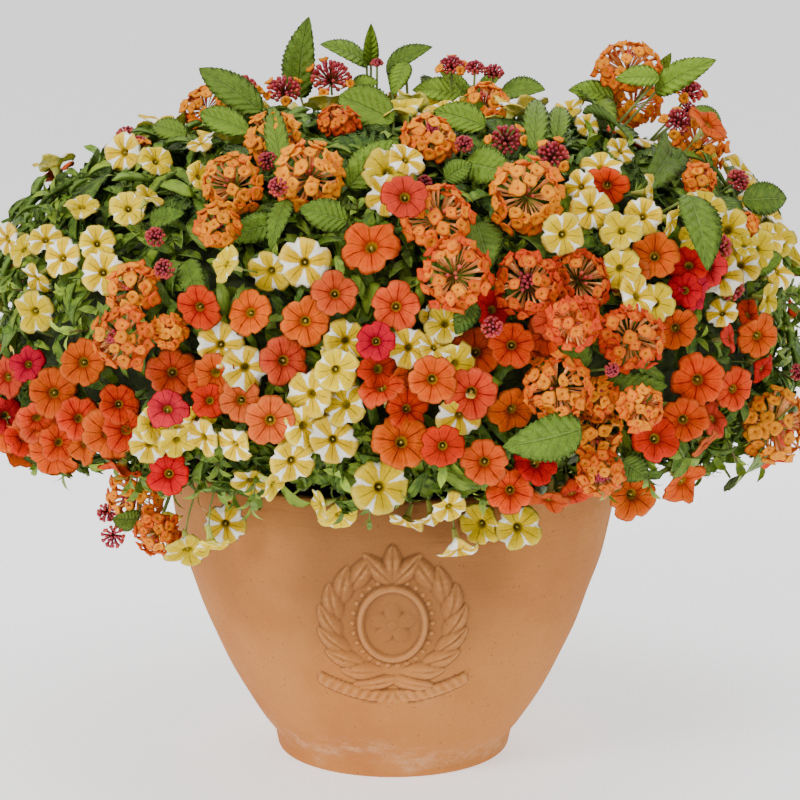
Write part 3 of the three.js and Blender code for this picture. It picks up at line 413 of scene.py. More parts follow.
class Crowd:
    """Keeps the pieces of the planting apart, each as a cluster of small balls."""

    CELL = 10.0
    FLOWER, HEAD, LEAF = 2.6, 4.2, 2.4
    NUDGES = (0, 3, -3, 6, -6, 9, -9, 12, -12, 15, -15, 18, -18, 21, -21, 24)
    POT_MARGIN = 4.0
    RIM_MARGIN = 192.0
    HEAD_SHARE, HEAD_FOOT, BLOOM_FOOT = 0.9, 0.4, 0.7
    # Places along a leaf; share of a bloom's radius and how many; angle on a head and how many.
    LEAF_BALLS = (0.1, 0.3, 0.5, 0.7, 0.9)
    BLOOM_BALLS = ((0, 1), (0.5, 6), (0.95, 12))
    HEAD_BALLS = {Kind.UMBEL: ((20, 5), (48, 9), (76, 12), (98, 10)), Kind.BUD: ((30, 4), (80, 7))}

    def __init__(self, pot_radius: Callable[[float], float]) -> None:
        """Starts empty, over a pot whose radius at a height is known."""
        self.cells: dict[tuple[int, int, int], list[tuple[Vector, float]]] = {}
        self.pot_radius = pot_radius

    def balls_of(self, sprig: Sprig) -> list[tuple[Vector, float]]:
        """The balls that stand for a piece."""
        if sprig.kind is Kind.LEAF:
            forward = (sprig.tip - sprig.centre).normalized()
            side = forward.cross(sprig.normal).normalized()
            balls = []
            for share in self.LEAF_BALLS:
                half = sprig.breadth * 0.42 * (1 if share < 0.6 else 2 * (1 - share))
                middle = sprig.centre.lerp(sprig.tip, share)
                balls += [(middle + side * across, self.LEAF) for across in (-half, 0, half)]
            return balls
        if sprig.kind in self.HEAD_BALLS:
            reach = self.HEAD_SHARE * sprig.radius
            balls = [
                (on_dome(sprig, polar, 360 * i / count, reach), self.HEAD)
                for polar, count in self.HEAD_BALLS[sprig.kind] for i in range(count)
            ]
            return balls + [(sprig.centre - sprig.axis * (self.HEAD_FOOT * sprig.radius), self.HEAD)]
        right, up = across_axes(sprig.axis, sprig.spin)
        balls = []
        for share, count in self.BLOOM_BALLS:
            for i in range(count):
                angle, out = TURN * i / count, share * sprig.radius
                point = sprig.centre + right * (out * math.cos(angle)) + up * (out * math.sin(angle))
                balls.append((point, self.FLOWER))
        return balls + [(sprig.centre - sprig.axis * (self.BLOOM_FOOT * sprig.radius), self.FLOWER)]

    def cell(self, point: Vector) -> tuple[int, int, int]:
        """The cell that a point lies in."""
        return (math.floor(point.x / self.CELL), math.floor(point.y / self.CELL),
                math.floor(point.z / self.CELL))

    def keep(self, balls: list[tuple[Vector, float]]) -> None:
        """Adds balls to the crowd."""
        for ball in balls:
            self.cells.setdefault(self.cell(ball[0]), []).append(ball)

    def add(self, sprig: Sprig) -> None:
        """Adds a piece to the crowd."""
        self.keep(self.balls_of(sprig))

    def touches(self, point: Vector, size: float) -> bool:
        """Whether a ball touches the pot or another ball."""
        if point.z < self.RIM_MARGIN:
            if math.hypot(point.x, point.y) < self.pot_radius(point.z) + self.POT_MARGIN:
                return True
        x, y, z = self.cell(point)
        for i in (x - 1, x, x + 1):
            for j in (y - 1, y, y + 1):
                for k in (z - 1, z, z + 1):
                    for other, reach in self.cells.get((i, j, k), ()):
                        if (other - point).length < reach + size:
                            return True
        return False

    def settle(self, sprig: Sprig) -> Sprig:
        """Moves a piece in or out until it is clear, or to where it is least crowded."""
        best, best_balls, fewest = sprig, [], math.inf
        for distance in self.NUDGES:
            moved = sprig.moved(distance)
            balls = self.balls_of(moved)
            count = sum(self.touches(point, size) for point, size in balls)
            if count < fewest:
                best, best_balls, fewest = moved, balls, count
            if count == 0:
                break
        self.keep(best_balls)
        return best

    def clear(self, sprig: Sprig) -> bool:
        """Whether a piece touches nothing where it is."""
        return not any(self.touches(point, size) for point, size in self.balls_of(sprig))


@dataclass
class Planting:
    """Every flower, head and large leaf, placed over the mound."""

    pot_radius: Callable[[float], float]
    seed: int = 20117
    places: int = 186
    spread: float = 0.74
    margin: float = 0.2
    edge: float = 12.0
    shares: tuple = ((Kind.YELLOW, 0.13), (Kind.ORANGE, 0.26), (Kind.RED, 0.31), (Kind.UMBEL, 0.37),
                     (Kind.BUD, 0.4), (Kind.LEAF, 1))
    breadths: dict = field(default_factory=lambda: {
        Kind.YELLOW: 27, Kind.ORANGE: 29, Kind.RED: 24, Kind.UMBEL: 38, Kind.BUD: 16})
    leaf_length: float = 66.0
    leaf_breadth: float = 40.0
    more_places: int = 900
    more_limit: dict = field(default_factory=lambda: {
        Kind.YELLOW: 52, Kind.ORANGE: 50, Kind.RED: 22, Kind.UMBEL: 16, Kind.BUD: 10})
    more_shares: tuple = ((Kind.YELLOW, 0.3), (Kind.ORANGE, 0.58), (Kind.RED, 0.7), (Kind.UMBEL, 0.9),
                          (Kind.BUD, 1))
    more_turn: float = 1.1
    more_slides: tuple = (4, 0, -4, -8)
    facing: tuple = (0.75, 0.45)
    spin_range: float = 6.28
    leaf_sink: float = 8.0
    tip_lift: float = 3.0
    side_tip_lift: float = 4.0
    leaf_facing: tuple = (0.45, 0.6, 0.02)
    pulls: int = 5
    pull: float = 3.0
    side_size: float = 0.76
    side_droop: float = 1.4
    upright: float = 0.65
    drawn_in: float = 8.0
    rim_slope: float = -0.35
    proud_level: float = 0.1
    deeper_places: int = 2600
    deeper_limit: int = 170
    deeper_room: float = 2.8
    deeper_turn: float = 2.3
    deeper_depths: tuple = (2, 6, 10, 14, 18)
    deeper_facing: tuple = (0.6, 0.5, 0.5)
    deeper_size: tuple = (0.38, 0.46)
    neighbour: float = 76.0
    red_share: float = 0.32

    def __post_init__(self) -> None:
        """Places the planned pieces, then fills in between them."""
        self.draws = Draws(self.seed)
        self.crowd = Crowd(self.pot_radius)
        plan = [self.flower(Kind.UMBEL, row) for row in UMBELS]
        plan += [self.flower(Kind.YELLOW, row) for row in YELLOW_BLOOMS]
        plan += [self.flower(Kind.ORANGE, row) for row in ORANGE_BLOOMS]
        plan += [self.flower(Kind.RED, row) for row in RED_BLOOMS]
        plan += [self.flower(Kind.BUD, row) for row in BUD_HEADS]
        plan += [self.leaf(row) for row in LARGE_LEAVES]
        plan += self.surrounding()
        self.sprigs = [self.crowd.settle(sprig) for sprig in plan]
        self.ease_leaves()
        self.sprigs += self.more_flowers()
        self.sprigs += self.deeper_flowers()

    def ease_leaves(self) -> None:
        """Stands the plan's leaves up, draws the others in, and counts the room anew."""
        self.crowd = Crowd(self.pot_radius)
        for i, sprig in enumerate(self.of(Kind.LEAF)):
            if i < len(LARGE_LEAVES):
                away = min((sprig.tip - sprig.centre).dot(sprig.slide), 0)
                sprig.tip = sprig.tip - sprig.slide * (away * self.upright)
                own, ahead, lean = self.leaf_facing
                sprig.normal = (sprig.normal * own + sprig.slide * (ahead - away * lean)).normalized()
                for _ in range(self.pulls):
                    low = sprig.tip.z < MOUND.equator
                    if low and MOUND.level(sprig.centre.lerp(sprig.tip, 0.5)) > self.proud_level:
                        step = sprig.slide * self.pull
                        sprig.centre, sprig.tip = sprig.centre - step, sprig.tip - step
            else:
                inward = MOUND.normal(sprig.place) * -self.drawn_in
                sprig.tip = sprig.centre.lerp(sprig.tip, self.side_size) + inward * self.side_droop
                sprig.centre = sprig.centre + inward
                sprig.breadth *= self.side_size
        for sprig in self.sprigs:
            self.crowd.add(sprig)

    def sight(self, u: float, v: float) -> tuple[Vector, Vector, float]:
        """The first point of the mound on a sight line of the plan, or its nearest pass.

        Args:
            u: plan steps to the right.
            v: plan steps down.

        Returns:
            The point, the way back to the eye, and the size of a plan step there in millimetres.
        """
        sin, cos = math.sin(EYE_PITCH), math.cos(EYE_PITCH)
        right, up = (u - PLAN_CENTRE) / PLAN_FOCUS, (PLAN_CENTRE - v) / PLAN_FOCUS
        sight = Vector((right, cos + up * sin, up * cos - sin)).normalized()
        best, lowest = 0.0, math.inf
        for distance in SIGHT_STEPS:
            here = MOUND.level(EYE + sight * distance)
            if here < lowest:
                best, lowest = float(distance), here
            if here < 0:
                break
        if lowest < 0:
            outside, inside = best - SIGHT_STEPS.step, best
            for _ in range(10):
                middle = (outside + inside) / 2
                if MOUND.level(EYE + sight * middle) < 0:
                    inside = middle
                else:
                    outside = middle
            best = inside
        depth = best * (sight.y * cos - sight.z * sin)
        return EYE + sight * best, -sight, depth / PLAN_FOCUS

    def flower(self, kind: Kind, row: Sequence[float]) -> Sprig:
        """A flower or head of the plan."""
        u, v, breadth, *rest = row
        point, to_eye, step = self.sight(u, v)
        ahead, outward = self.facing
        axis = (to_eye * ahead + MOUND.normal(point) * outward).normalized()
        if rest:
            turn, rise = math.radians(rest[0]), math.radians(rest[1])
            axis = Vector((math.sin(turn) * math.cos(rise), -math.cos(turn) * math.cos(rise),
                           math.sin(rise)))
        nearer = rest[2] if len(rest) > 2 else 0
        spin = self.draws.one() * self.spin_range
        return Sprig(kind, to_eye, point + to_eye * nearer, axis, spin, breadth * step / 2)

    def leaf(self, row: Sequence[float]) -> Sprig:
        """A large leaf of the plan."""
        foot_u, foot_v, tip_u, tip_v, breadth, *rest = row
        nearer = rest[0] if rest else 0
        start, to_eye, step = self.sight(foot_u, foot_v)
        end, end_to_eye, _ = self.sight(tip_u, tip_v)
        foot, tip = start + to_eye * (nearer - self.leaf_sink), end + end_to_eye * (nearer + self.tip_lift)
        return Sprig(Kind.LEAF, to_eye, foot, tip=tip, normal=leaf_stand(foot, tip), breadth=breadth * step)

    def in_plan(self, point: Vector, normal: Vector) -> bool:
        """Whether a point of the mound is one that the plan covers."""
        sin, cos = math.sin(EYE_PITCH), math.cos(EYE_PITCH)
        ahead = (point.y - EYE.y) * cos - (point.z - EYE.z) * sin
        u = PLAN_CENTRE + PLAN_FOCUS * (point.x - EYE.x) / ahead
        inside = -self.edge < u < 2 * PLAN_CENTRE + self.edge
        return inside and normal.dot((EYE - point).normalized()) > self.margin

    def scattered(self, azimuth: float, share: float, first: float = 0.03,
                  span: float = 0.95) -> tuple[Vector, Vector]:
        """A point of the mound some share of the way to its hem, and the way out of it there."""
        point = MOUND.point(azimuth, (first + span * share ** self.spread) * MOUND.skirt_angle, 0)
        return point, MOUND.normal(point)

    def surrounding(self) -> list[Sprig]:
        """Flowers and leaves over the sides and the back."""
        sprigs = []
        for i in range(self.places):
            point, normal = self.scattered(i * GOLDEN_TURN, (i + 0.5) / self.places, 0.04, 0.94)
            if not self.in_plan(point, normal):
                sprigs.append(self.free_sprig(point, normal, self.shares))
        return sprigs

    def free_sprig(self, point: Vector, normal: Vector, shares: tuple) -> Sprig:
        """A piece of a drawn kind, size and tilt at a point of the mound."""
        choice = self.draws.one()
        kind = next(kind for kind, share in shares if choice <= share)
        tilt = Vector((self.draws.one() - 0.5, self.draws.one() - 0.5, self.draws.one() * 0.7))
        axis = (normal + tilt).normalized()
        size = 0.88 + 0.24 * self.draws.one()
        spin = self.draws.one() * self.spin_range
        if kind is not Kind.LEAF:
            return Sprig(kind, normal, point, axis, spin, self.breadths[kind] * size / 2)
        right, _ = across_axes(normal, spin)
        half = self.leaf_length * size / 2
        foot = point - right * half - normal * self.leaf_sink
        tip = point + right * half + normal * self.side_tip_lift
        return Sprig(kind, normal, foot, tip=tip, normal=leaf_stand(foot, tip),
                     breadth=self.leaf_breadth * size)

    def more_flowers(self) -> list[Sprig]:
        """Flowers that fit between the others over the sides and the back."""
        left = dict(self.more_limit)
        sprigs = []
        for i in range(self.more_places):
            azimuth = i * GOLDEN_TURN + self.more_turn
            point, normal = self.scattered(azimuth, (i + 0.5) / self.more_places)
            if self.in_plan(point, normal):
                continue
            sprig = self.free_sprig(point, normal, self.more_shares)
            at_rim = normal.dot((EYE - point).normalized()) > self.rim_slope
            if left[sprig.kind] == 0 or at_rim and sprig.kind is not Kind.YELLOW:
                continue
            for slide in self.more_slides:
                moved = sprig.moved(slide)
                if self.crowd.clear(moved):
                    moved.extra = True
                    left[sprig.kind] -= 1
                    self.crowd.add(moved)
                    sprigs.append(moved)
                    break
        return sprigs

    def deeper_flowers(self) -> list[Sprig]:
        """Half-hidden blooms in the gaps of the plan, mostly of their neighbours' kind."""
        planned, sprigs, draws = self.of(Kind.YELLOW, Kind.ORANGE, Kind.RED), [], self.draws
        ahead, outward, tilt = self.deeper_facing
        for i in range(self.deeper_places):
            azimuth = i * GOLDEN_TURN + self.deeper_turn
            point, normal = self.scattered(azimuth, (i * GOLDEN_SHARE) % 1)
            if len(sprigs) == self.deeper_limit or not self.in_plan(point, normal):
                continue
            nearest = min(planned, key=lambda sprig: (sprig.centre - point).length)
            if (nearest.centre - point).length > self.neighbour:
                continue
            kind = Kind.RED if draws.one() < self.red_share and nearest.kind is Kind.ORANGE else nearest.kind
            to_eye = (EYE - point).normalized()
            axis = (to_eye * ahead + normal * outward + draws.wobble(tilt)).normalized()
            radius = self.breadths[kind] * draws.between(*self.deeper_size)
            for depth in self.deeper_depths:
                centre = point - to_eye * depth
                sight = (centre + to_eye * step for step in range(0, depth + 10, 5))
                if not any(self.crowd.touches(spot, self.deeper_room) for spot in sight):
                    sprig = Sprig(kind, to_eye, centre, axis, draws.one() * TURN, radius, extra=True)
                    self.crowd.add(sprig)
                    sprigs.append(sprig)
                    break
        return sprigs

    def of(self, *kinds: Kind) -> list[Sprig]:
        """The pieces of some kinds."""
        return [sprig for sprig in self.sprigs if sprig.kind in kinds]


def leaf_stand(foot: Vector, tip: Vector) -> Vector:
    """The way a leaf stands off its root."""
    return (foot - spray_at(foot.lerp(tip, LEAF_PLACE)).root(foot)).normalized()


# ---- meshes


@dataclass
class Template:
    """A small closed mesh that is stamped many times, and its points in its own units."""

    mesh: bpy.types.Mesh
    points: np.ndarray


def rolled(name: str, columns: int, stations: Sequence[float], shape: Shape, slot: int = 0) -> Template:
    """A closed form rolled from a grid: its sides meet and its ends close to points.

    Args:
        name: the mesh's name.
        columns: faces around it.
        stations: the place along it of each row, from 0 to 1.
        shape: gives the points from arrays of turn (0 to 1) and station.
        slot: the material slot of its faces.

    Returns:
        The template.
    """
    rows = len(stations) - 1
    bm = bmesh.new()
    uv = bm.loops.layers.uv.new("UVMap")
    bmesh.ops.create_grid(bm, x_segments=columns, y_segments=rows, size=0.5, calc_uvs=True)
    for face in bm.faces:
        for loop in face.loops:
            loop[uv].uv = (loop.vert.co.x + 0.5, stations[round((loop.vert.co.y + 0.5) * rows)])
    turn = np.array([vert.co.x + 0.5 for vert in bm.verts])
    along = np.array([stations[round((vert.co.y + 0.5) * rows)] for vert in bm.verts])
    for vert, point in zip(bm.verts, shape(turn, along)):
        vert.co = point
    bmesh.ops.remove_doubles(bm, verts=bm.verts[:], dist=1e-5)
    bmesh.ops.recalc_face_normals(bm, faces=bm.faces[:])
    for face in bm.faces:
        face.smooth = True
        face.material_index = slot
    return as_template(name, bm)


def profile(rows: Sequence[Sequence[float]], along: np.ndarray) -> tuple[np.ndarray, np.ndarray]:
    """The radius and level along a profile, whose rows give station, radius and level."""
    stations, radii, levels = np.array(rows).T
    return np.interp(along, stations, radii), np.interp(along, stations, levels)


def round_points(turn: np.ndarray, radius: np.ndarray, level: np.ndarray) -> np.ndarray:
    """Points around an upright axis, from turn (0 to 1), radius and level."""
    return np.column_stack((radius * np.cos(TURN * turn), radius * np.sin(TURN * turn), level))


def mesh_of(name: str, bm: bmesh.types.BMesh) -> bpy.types.Mesh:
    """A mesh from a bmesh, which is freed."""
    mesh = bpy.data.meshes.new(name)
    bm.to_mesh(mesh)
    bm.free()
    return mesh


def linked(name: str, data: bpy.types.ID) -> bpy.types.Object:
    """A new object of the scene."""
    made = bpy.data.objects.new(name, data)
    bpy.context.scene.collection.objects.link(made)
    return made


def as_template(name: str, bm: bmesh.types.BMesh) -> Template:
    """A template from a bmesh, which is freed."""
    mesh = mesh_of(name, bm)
    if "tint" not in mesh.attributes:
        mesh.attributes.new("tint", "FLOAT_COLOR", "POINT")
    points = np.empty(len(mesh.vertices) * 3)
    mesh.vertices.foreach_get("co", points)
    return Template(mesh, points.reshape(-1, 3))


def placed(template: Template, origin: Vector, axes: Sequence[Vector], sizes: Sequence[float]) -> np.ndarray:
    """A template's points on three axes.

    Args:
        template: the template.
        origin: where its own origin goes.
        axes: the directions of its x, y and z.
        sizes: millimetres to one of its own units along each.

    Returns:
        The points, in millimetres.
    """
    frame_rows = np.array([tuple(axis) for axis in axes]) * np.array(sizes)[:, None]
    return template.points @ frame_rows + np.array(tuple(origin))


class Cluster:
    """Gathers stamped templates into one mesh."""

    def __init__(self, name: str) -> None:
        """Starts an empty cluster."""
        self.name = name
        self.bm = bmesh.new()

    def stamp(self, template: Template, points: np.ndarray, tint: Sequence[float]) -> None:
        """Adds a copy of a template.

        Args:
            template: what is stamped.
            points: where its points go, in millimetres.
            tint: four numbers that the finish reads for this copy.
        """
        mesh = template.mesh.copy()
        mesh.vertices.foreach_set("co", (points * MM).astype(np.float32).ravel())
        colours = np.tile(np.array(tint, dtype=np.float32), len(points))
        mesh.attributes["tint"].data.foreach_set("color", colours)
        self.bm.from_mesh(mesh)
        bpy.data.meshes.remove(mesh)

    def place(self, template: Template, origin: Vector, axis: Vector, spin: float, sizes: Sequence[float],
              tint: Sequence[float]) -> None:
        """Adds a copy of a template that stands on an axis.

        Args:
            template: what is stamped.
            origin: where its own origin goes, in millimetres.
            axis: the direction of its z.
            spin: how far it is turned about its axis, in radians.
            sizes: millimetres to one of its own units along x, y and z.
            tint: four numbers that the finish reads for this copy.
        """
        self.stamp(template, placed(template, origin, (*across_axes(axis, spin), axis), sizes), tint)

    def finish(self, finishes: Sequence[bpy.types.Material], slot: str, nodes: Sequence[str] = ()) -> None:
        """Makes the cluster a piece of the scene.

        Args:
            finishes: its materials, by slot.
            slot: not used.
            nodes: the frame's nodes that it stands for.
        """
        finish_piece(mesh_of(self.name, self.bm), finishes, nodes)


def finish_piece(mesh: bpy.types.Mesh, finishes: Sequence[bpy.types.Material],
                 nodes: Sequence[str] = ()) -> None:
    """Links a mesh as a piece that rides on the body.

    Args:
        mesh: the piece's mesh, in metres.
        finishes: its materials, by slot.
        nodes: the frame's nodes that it stands for.
    """
    piece = linked(mesh.name, mesh)
    for finish in finishes:
        mesh.materials.append(finish)
    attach(piece, "root")
    if nodes:
        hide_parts(*nodes)
    triangles = sum(len(polygon.vertices) - 2 for polygon in mesh.polygons)
    LOG.info("%s: %d triangles", mesh.name, triangles)


# ---- finishes


class Wires:
    """Adds nodes to a material or a node group."""

    def __init__(self, tree: bpy.types.NodeTree) -> None:
        """Starts on a node tree."""
        self.tree = tree

    def node(self, kind: str, inputs: dict, **settings: object) -> bpy.types.Node:
        """A node with its settings and inputs.

        Args:
            kind: the node's type.
            inputs: a value or a socket for each input, by name or number.
            settings: the node's own properties.

        Returns:
            The node.
        """
        node = self.tree.nodes.new(kind)
        for key, value in settings.items():
            setattr(node, key, value)
        self.put(node, inputs)
        return node

    def put(self, node: bpy.types.Node, inputs: dict) -> None:
        """Gives a node's inputs their values or links."""
        for key, value in inputs.items():
            if isinstance(value, Output):
                self.tree.links.new(value, node.inputs[key])
            else:
                node.inputs[key].default_value = value

    def math(self, operation: str, a: Socket, b: Socket = 0.0, *more: Socket) -> Output:
        """The result of a Math node."""
        return self.node("ShaderNodeMath", dict(enumerate((a, b, *more))), operation=operation).outputs[0]

    def times(self, a: Socket, b: Socket) -> Output:
        """The product of two values."""
        return self.math("MULTIPLY", a, b)

    def plus(self, a: Socket, b: Socket) -> Output:
        """The sum of two values."""
        return self.math("ADD", a, b)

    def less(self, a: Socket, b: Socket) -> Output:
        """One value less another."""
        return self.math("SUBTRACT", a, b)

    def ramp(self, value: Socket, low: float, high: float, start: float = 0.0,
             end: float = 1.0) -> Output:
        """A value that goes smoothly from start to end between low and high."""
        inputs = {"Value": value, "From Min": low, "From Max": high, "To Min": start, "To Max": end}
        node = self.node("ShaderNodeMapRange", inputs, interpolation_type="SMOOTHSTEP")
        return node.outputs["Result"]

    def mix(self, share: Socket, a: Socket, b: Socket) -> Output:
        """The colour between two colours."""
        return self.node("ShaderNodeMix", {0: share, 6: a, 7: b}, data_type="RGBA").outputs[2]

    def over(self, colour: Socket, top: Socket, value: Socket, *limits: float) -> Output:
        """A colour with another over it, as far as the ramp of a value says."""
        return self.mix(self.ramp(value, *limits), colour, top)

    def noise(self, place: Socket, scale: float, detail: float = 3.0, roughness: float = 0.55,
              ) -> Output:
        """The value of a Noise node."""
        inputs = {"Vector": place, "Scale": scale, "Detail": detail, "Roughness": roughness}
        return self.node("ShaderNodeTexNoise", inputs).outputs["Fac"]

    def stretched(self, place: Socket, scale: Sequence[float]) -> Output:
        """A place with its three directions scaled."""
        return self.node("ShaderNodeMapping", {"Vector": place, "Scale": tuple(scale)}).outputs[0]

    def object_place(self) -> Output:
        """The Object coordinates."""
        return self.node("ShaderNodeTexCoord", {}).outputs["Object"]

    def uv(self) -> tuple[Output, Output]:
        """The two UV values."""
        uv = self.node("ShaderNodeUVMap", {}, uv_map="UVMap").outputs[0]
        split = self.node("ShaderNodeSeparateXYZ", {0: uv})
        return split.outputs[0], split.outputs[1]

    def tint(self) -> list[Output]:
        """The four numbers of the tint attribute."""
        attribute = self.node("ShaderNodeAttribute", {}, attribute_name="tint")
        split = self.node("ShaderNodeSeparateColor", {0: attribute.outputs["Color"]})
        return [*split.outputs[:3], attribute.outputs["Alpha"]]

    def bump(self, height: Socket, distance: float) -> Output:
        """A normal bumped by a height."""
        inputs = {"Height": height, "Distance": distance, "Strength": 1.0}
        return self.node("ShaderNodeBump", inputs).outputs[0]


class Coat(Wires):
    """The wires of a new material."""

    def __init__(self, name: str) -> None:
        """Starts an empty material."""
        self.material = bpy.data.materials.new(name)
        self.material.use_nodes = True
        super().__init__(self.material.node_tree)

    def finished(self, looks: dict) -> bpy.types.Material:
        """The material, once its shader has its looks."""
        self.put(self.tree.nodes["Principled BSDF"], looks)
        return self.material


def srgb(red: float, green: float, blue: float) -> tuple[float, float, float, float]:
    """A colour of 0 to 255 values as linear light."""
    values = [c / 255 for c in (red, green, blue)]
    light = [v / 12.92 if v <= 0.04045 else ((v + 0.055) / 1.055) ** 2.4 for v in values]
    return (light[0], light[1], light[2], 1.0)


def shade_group() -> bpy.types.NodeTree:
    """Shared by the plants' finishes: darkens and lightens a colour by its tint, with a mottle."""
    group = bpy.data.node_groups.new("plant shade", "ShaderNodeTree")
    sides = (("Colour", "INPUT", "NodeSocketColor"), ("Light", "INPUT", "NodeSocketFloat"),
             ("Depth", "INPUT", "NodeSocketFloat"), ("Colour", "OUTPUT", "NodeSocketColor"))
    for name, side, kind in sides:
        group.interface.new_socket(name=name, in_out=side, socket_type=kind)
    wires = Wires(group)
    start, end = group.nodes.new("NodeGroupInput"), group.nodes.new("NodeGroupOutput")
    light = wires.ramp(start.outputs["Light"], 0, 1, 0.8, 1.16)
    # The deeper a piece lies in the foliage, the darker it gets: painted shade.
    shade = wires.ramp(start.outputs["Depth"], 0, 1, 1, 0.84)
    value = wires.times(light, shade)
    place = wires.object_place()
    mottle = wires.ramp(wires.noise(place, 160, 3), 0.3, 0.7, 0.9, 1.1)
    value = wires.times(value, mottle)
    inputs = {"Color": start.outputs["Colour"], "Value": value, "Saturation": 1.0}
    shaded = wires.node("ShaderNodeHueSaturation", inputs).outputs[0]
    wires.put(end, {"Colour": shaded})
    return group


SHADE = shade_group()


def shaded(wires: Wires, colour: Socket, light: Socket, depth: Socket) -> Output:
    """A colour after the shared plant shade."""
    inputs = {"Colour": colour, "Light": light, "Depth": depth}
    return wires.node("ShaderNodeGroup", inputs, node_tree=SHADE).outputs["Colour"]


@dataclass(frozen=True)
class Terracotta:
    """Fired clay with mottling, streaks, specks and a lime bloom at the foot, plus painted light: the plants'
    shadow with a stain on the upper wall, shade in the relief's hollows, highlight with wear on its ridges.
    """

    clay: tuple = srgb(194, 128, 66)
    warm: tuple = srgb(180, 112, 54)
    pale: tuple = srgb(206, 144, 88)
    # Brown for a stain and for painted shade.
    stain_and_shade: tuple = srgb(112, 72, 40)
    lime: tuple = srgb(222, 180, 142)
    speck: tuple = srgb(112, 66, 36)

    def build(self) -> bpy.types.Material:
        """The material."""
        wires = Coat("fired terracotta")
        place = wires.object_place()
        split = wires.node("ShaderNodeSeparateXYZ", {0: place})
        height = split.outputs[2]
        clouds = wires.noise(place, 11, 4, 0.6)
        colour = wires.over(self.warm, self.clay, clouds, 0.3, 0.62)
        patches = wires.noise(wires.stretched(place, (1, 1, 0.5)), 26, 4, 0.65)
        colour = wires.over(colour, self.pale, patches, 0.55, 0.8, 0, 0.55)
        streaks = wires.noise(wires.stretched(place, (1, 1, 0.09)), 130, 3, 0.6)
        colour = wires.over(colour, self.warm, streaks, 0.5, 0.78, 0, 0.28)
        wavy = wires.less(wires.times(wires.noise(place, 14, 3), 0.06), 0.03)
        level = wires.plus(height, wavy)
        # Painted shadow of the plants, with a stain, over the upper wall: darkest at the front's middle.
        sideways = wires.plus(wires.math("ABSOLUTE", split.outputs[0]), wavy)
        front = wires.times(wires.ramp(sideways, 0.03, 0.085, 1, 0),
                            wires.ramp(split.outputs[1], -0.08, -0.04, 1, 0))
        brown = wires.times(wires.ramp(level, 0.06, 0.13), wires.math("MULTIPLY_ADD", front, 0.5, 0.12))
        colour = wires.mix(brown, colour, self.stain_and_shade)
        # Painted shade in the relief's hollows, and paler ridges: painted highlight with wear.
        crevice_shade = wires.node("ShaderNodeAttribute", {}, attribute_name="crevice_shade").outputs["Fac"]
        colour = wires.over(colour, self.stain_and_shade, crevice_shade, 0.05, 0.9, 0, 0.75)
        colour = wires.over(colour, self.pale, crevice_shade, -0.9, -0.1, 0.5, 0)
        foot = wires.times(wires.ramp(level, 0.003, 0.012), wires.ramp(level, 0.014, 0.03, 1, 0))
        crust = wires.noise(wires.stretched(place, (1, 1, 2.2)), 75, 6, 0.75)
        scum = wires.ramp(crust, 0.42, 0.7, 0.03, 0.48)
        colour = wires.mix(wires.times(foot, scum), colour, self.lime)
        dots = wires.node("ShaderNodeTexVoronoi", {"Vector": place, "Scale": 230.0}).outputs["Distance"]
        sown = wires.ramp(wires.noise(place, 90, 1), 0.52, 0.6)
        specks = wires.times(wires.ramp(dots, 0.1, 0.2, 1, 0), sown)
        colour = wires.mix(wires.times(specks, 0.6), colour, self.speck)
        grain = wires.noise(place, 900, 3, 0.7)
        colour = wires.over(colour, self.speck, grain, 0.3, 0.7, 0, 0.12)
        throwing = wires.noise(wires.stretched(place, (1, 1, 14)), 22, 2)
        relief = wires.plus(wires.times(grain, 0.35), wires.times(throwing, 0.5))
        relief = wires.plus(relief, wires.times(wires.noise(place, 70, 4), 0.9))
        return wires.finished({
            "Base Color": colour, "Roughness": wires.ramp(grain, 0.2, 0.8, 0.7, 0.9),
            "Normal": wires.bump(relief, 0.0007), "Specular IOR Level": 0.16})


@dataclass(frozen=True)
class Peat:
    """Potting soil: dark peat lumps with a few pale perlite grains."""

    dark: tuple = srgb(36, 24, 18)
    brown: tuple = srgb(84, 58, 40)
    perlite: tuple = srgb(214, 208, 196)

    def build(self) -> bpy.types.Material:
        """The material."""
        wires = Coat("potting soil")
        place = wires.object_place()
        lumps = wires.node("ShaderNodeTexVoronoi", {"Vector": place, "Scale": 160.0})
        crumb = wires.noise(place, 420, 4, 0.7)
        colour = wires.over(self.dark, self.brown, crumb, 0.35, 0.7)
        pick = wires.node("ShaderNodeSeparateColor", {0: lumps.outputs["Color"]}).outputs[0]
        grains = wires.times(wires.ramp(lumps.outputs["Distance"], 0.2, 0.34, 1, 0),
                             wires.ramp(pick, 0.9, 0.93))
        colour = wires.mix(grains, colour, self.perlite)
        height = wires.less(crumb, lumps.outputs["Distance"])
        return wires.finished({
            "Base Color": colour, "Normal": wires.bump(height, 0.003), "Roughness": 0.95})


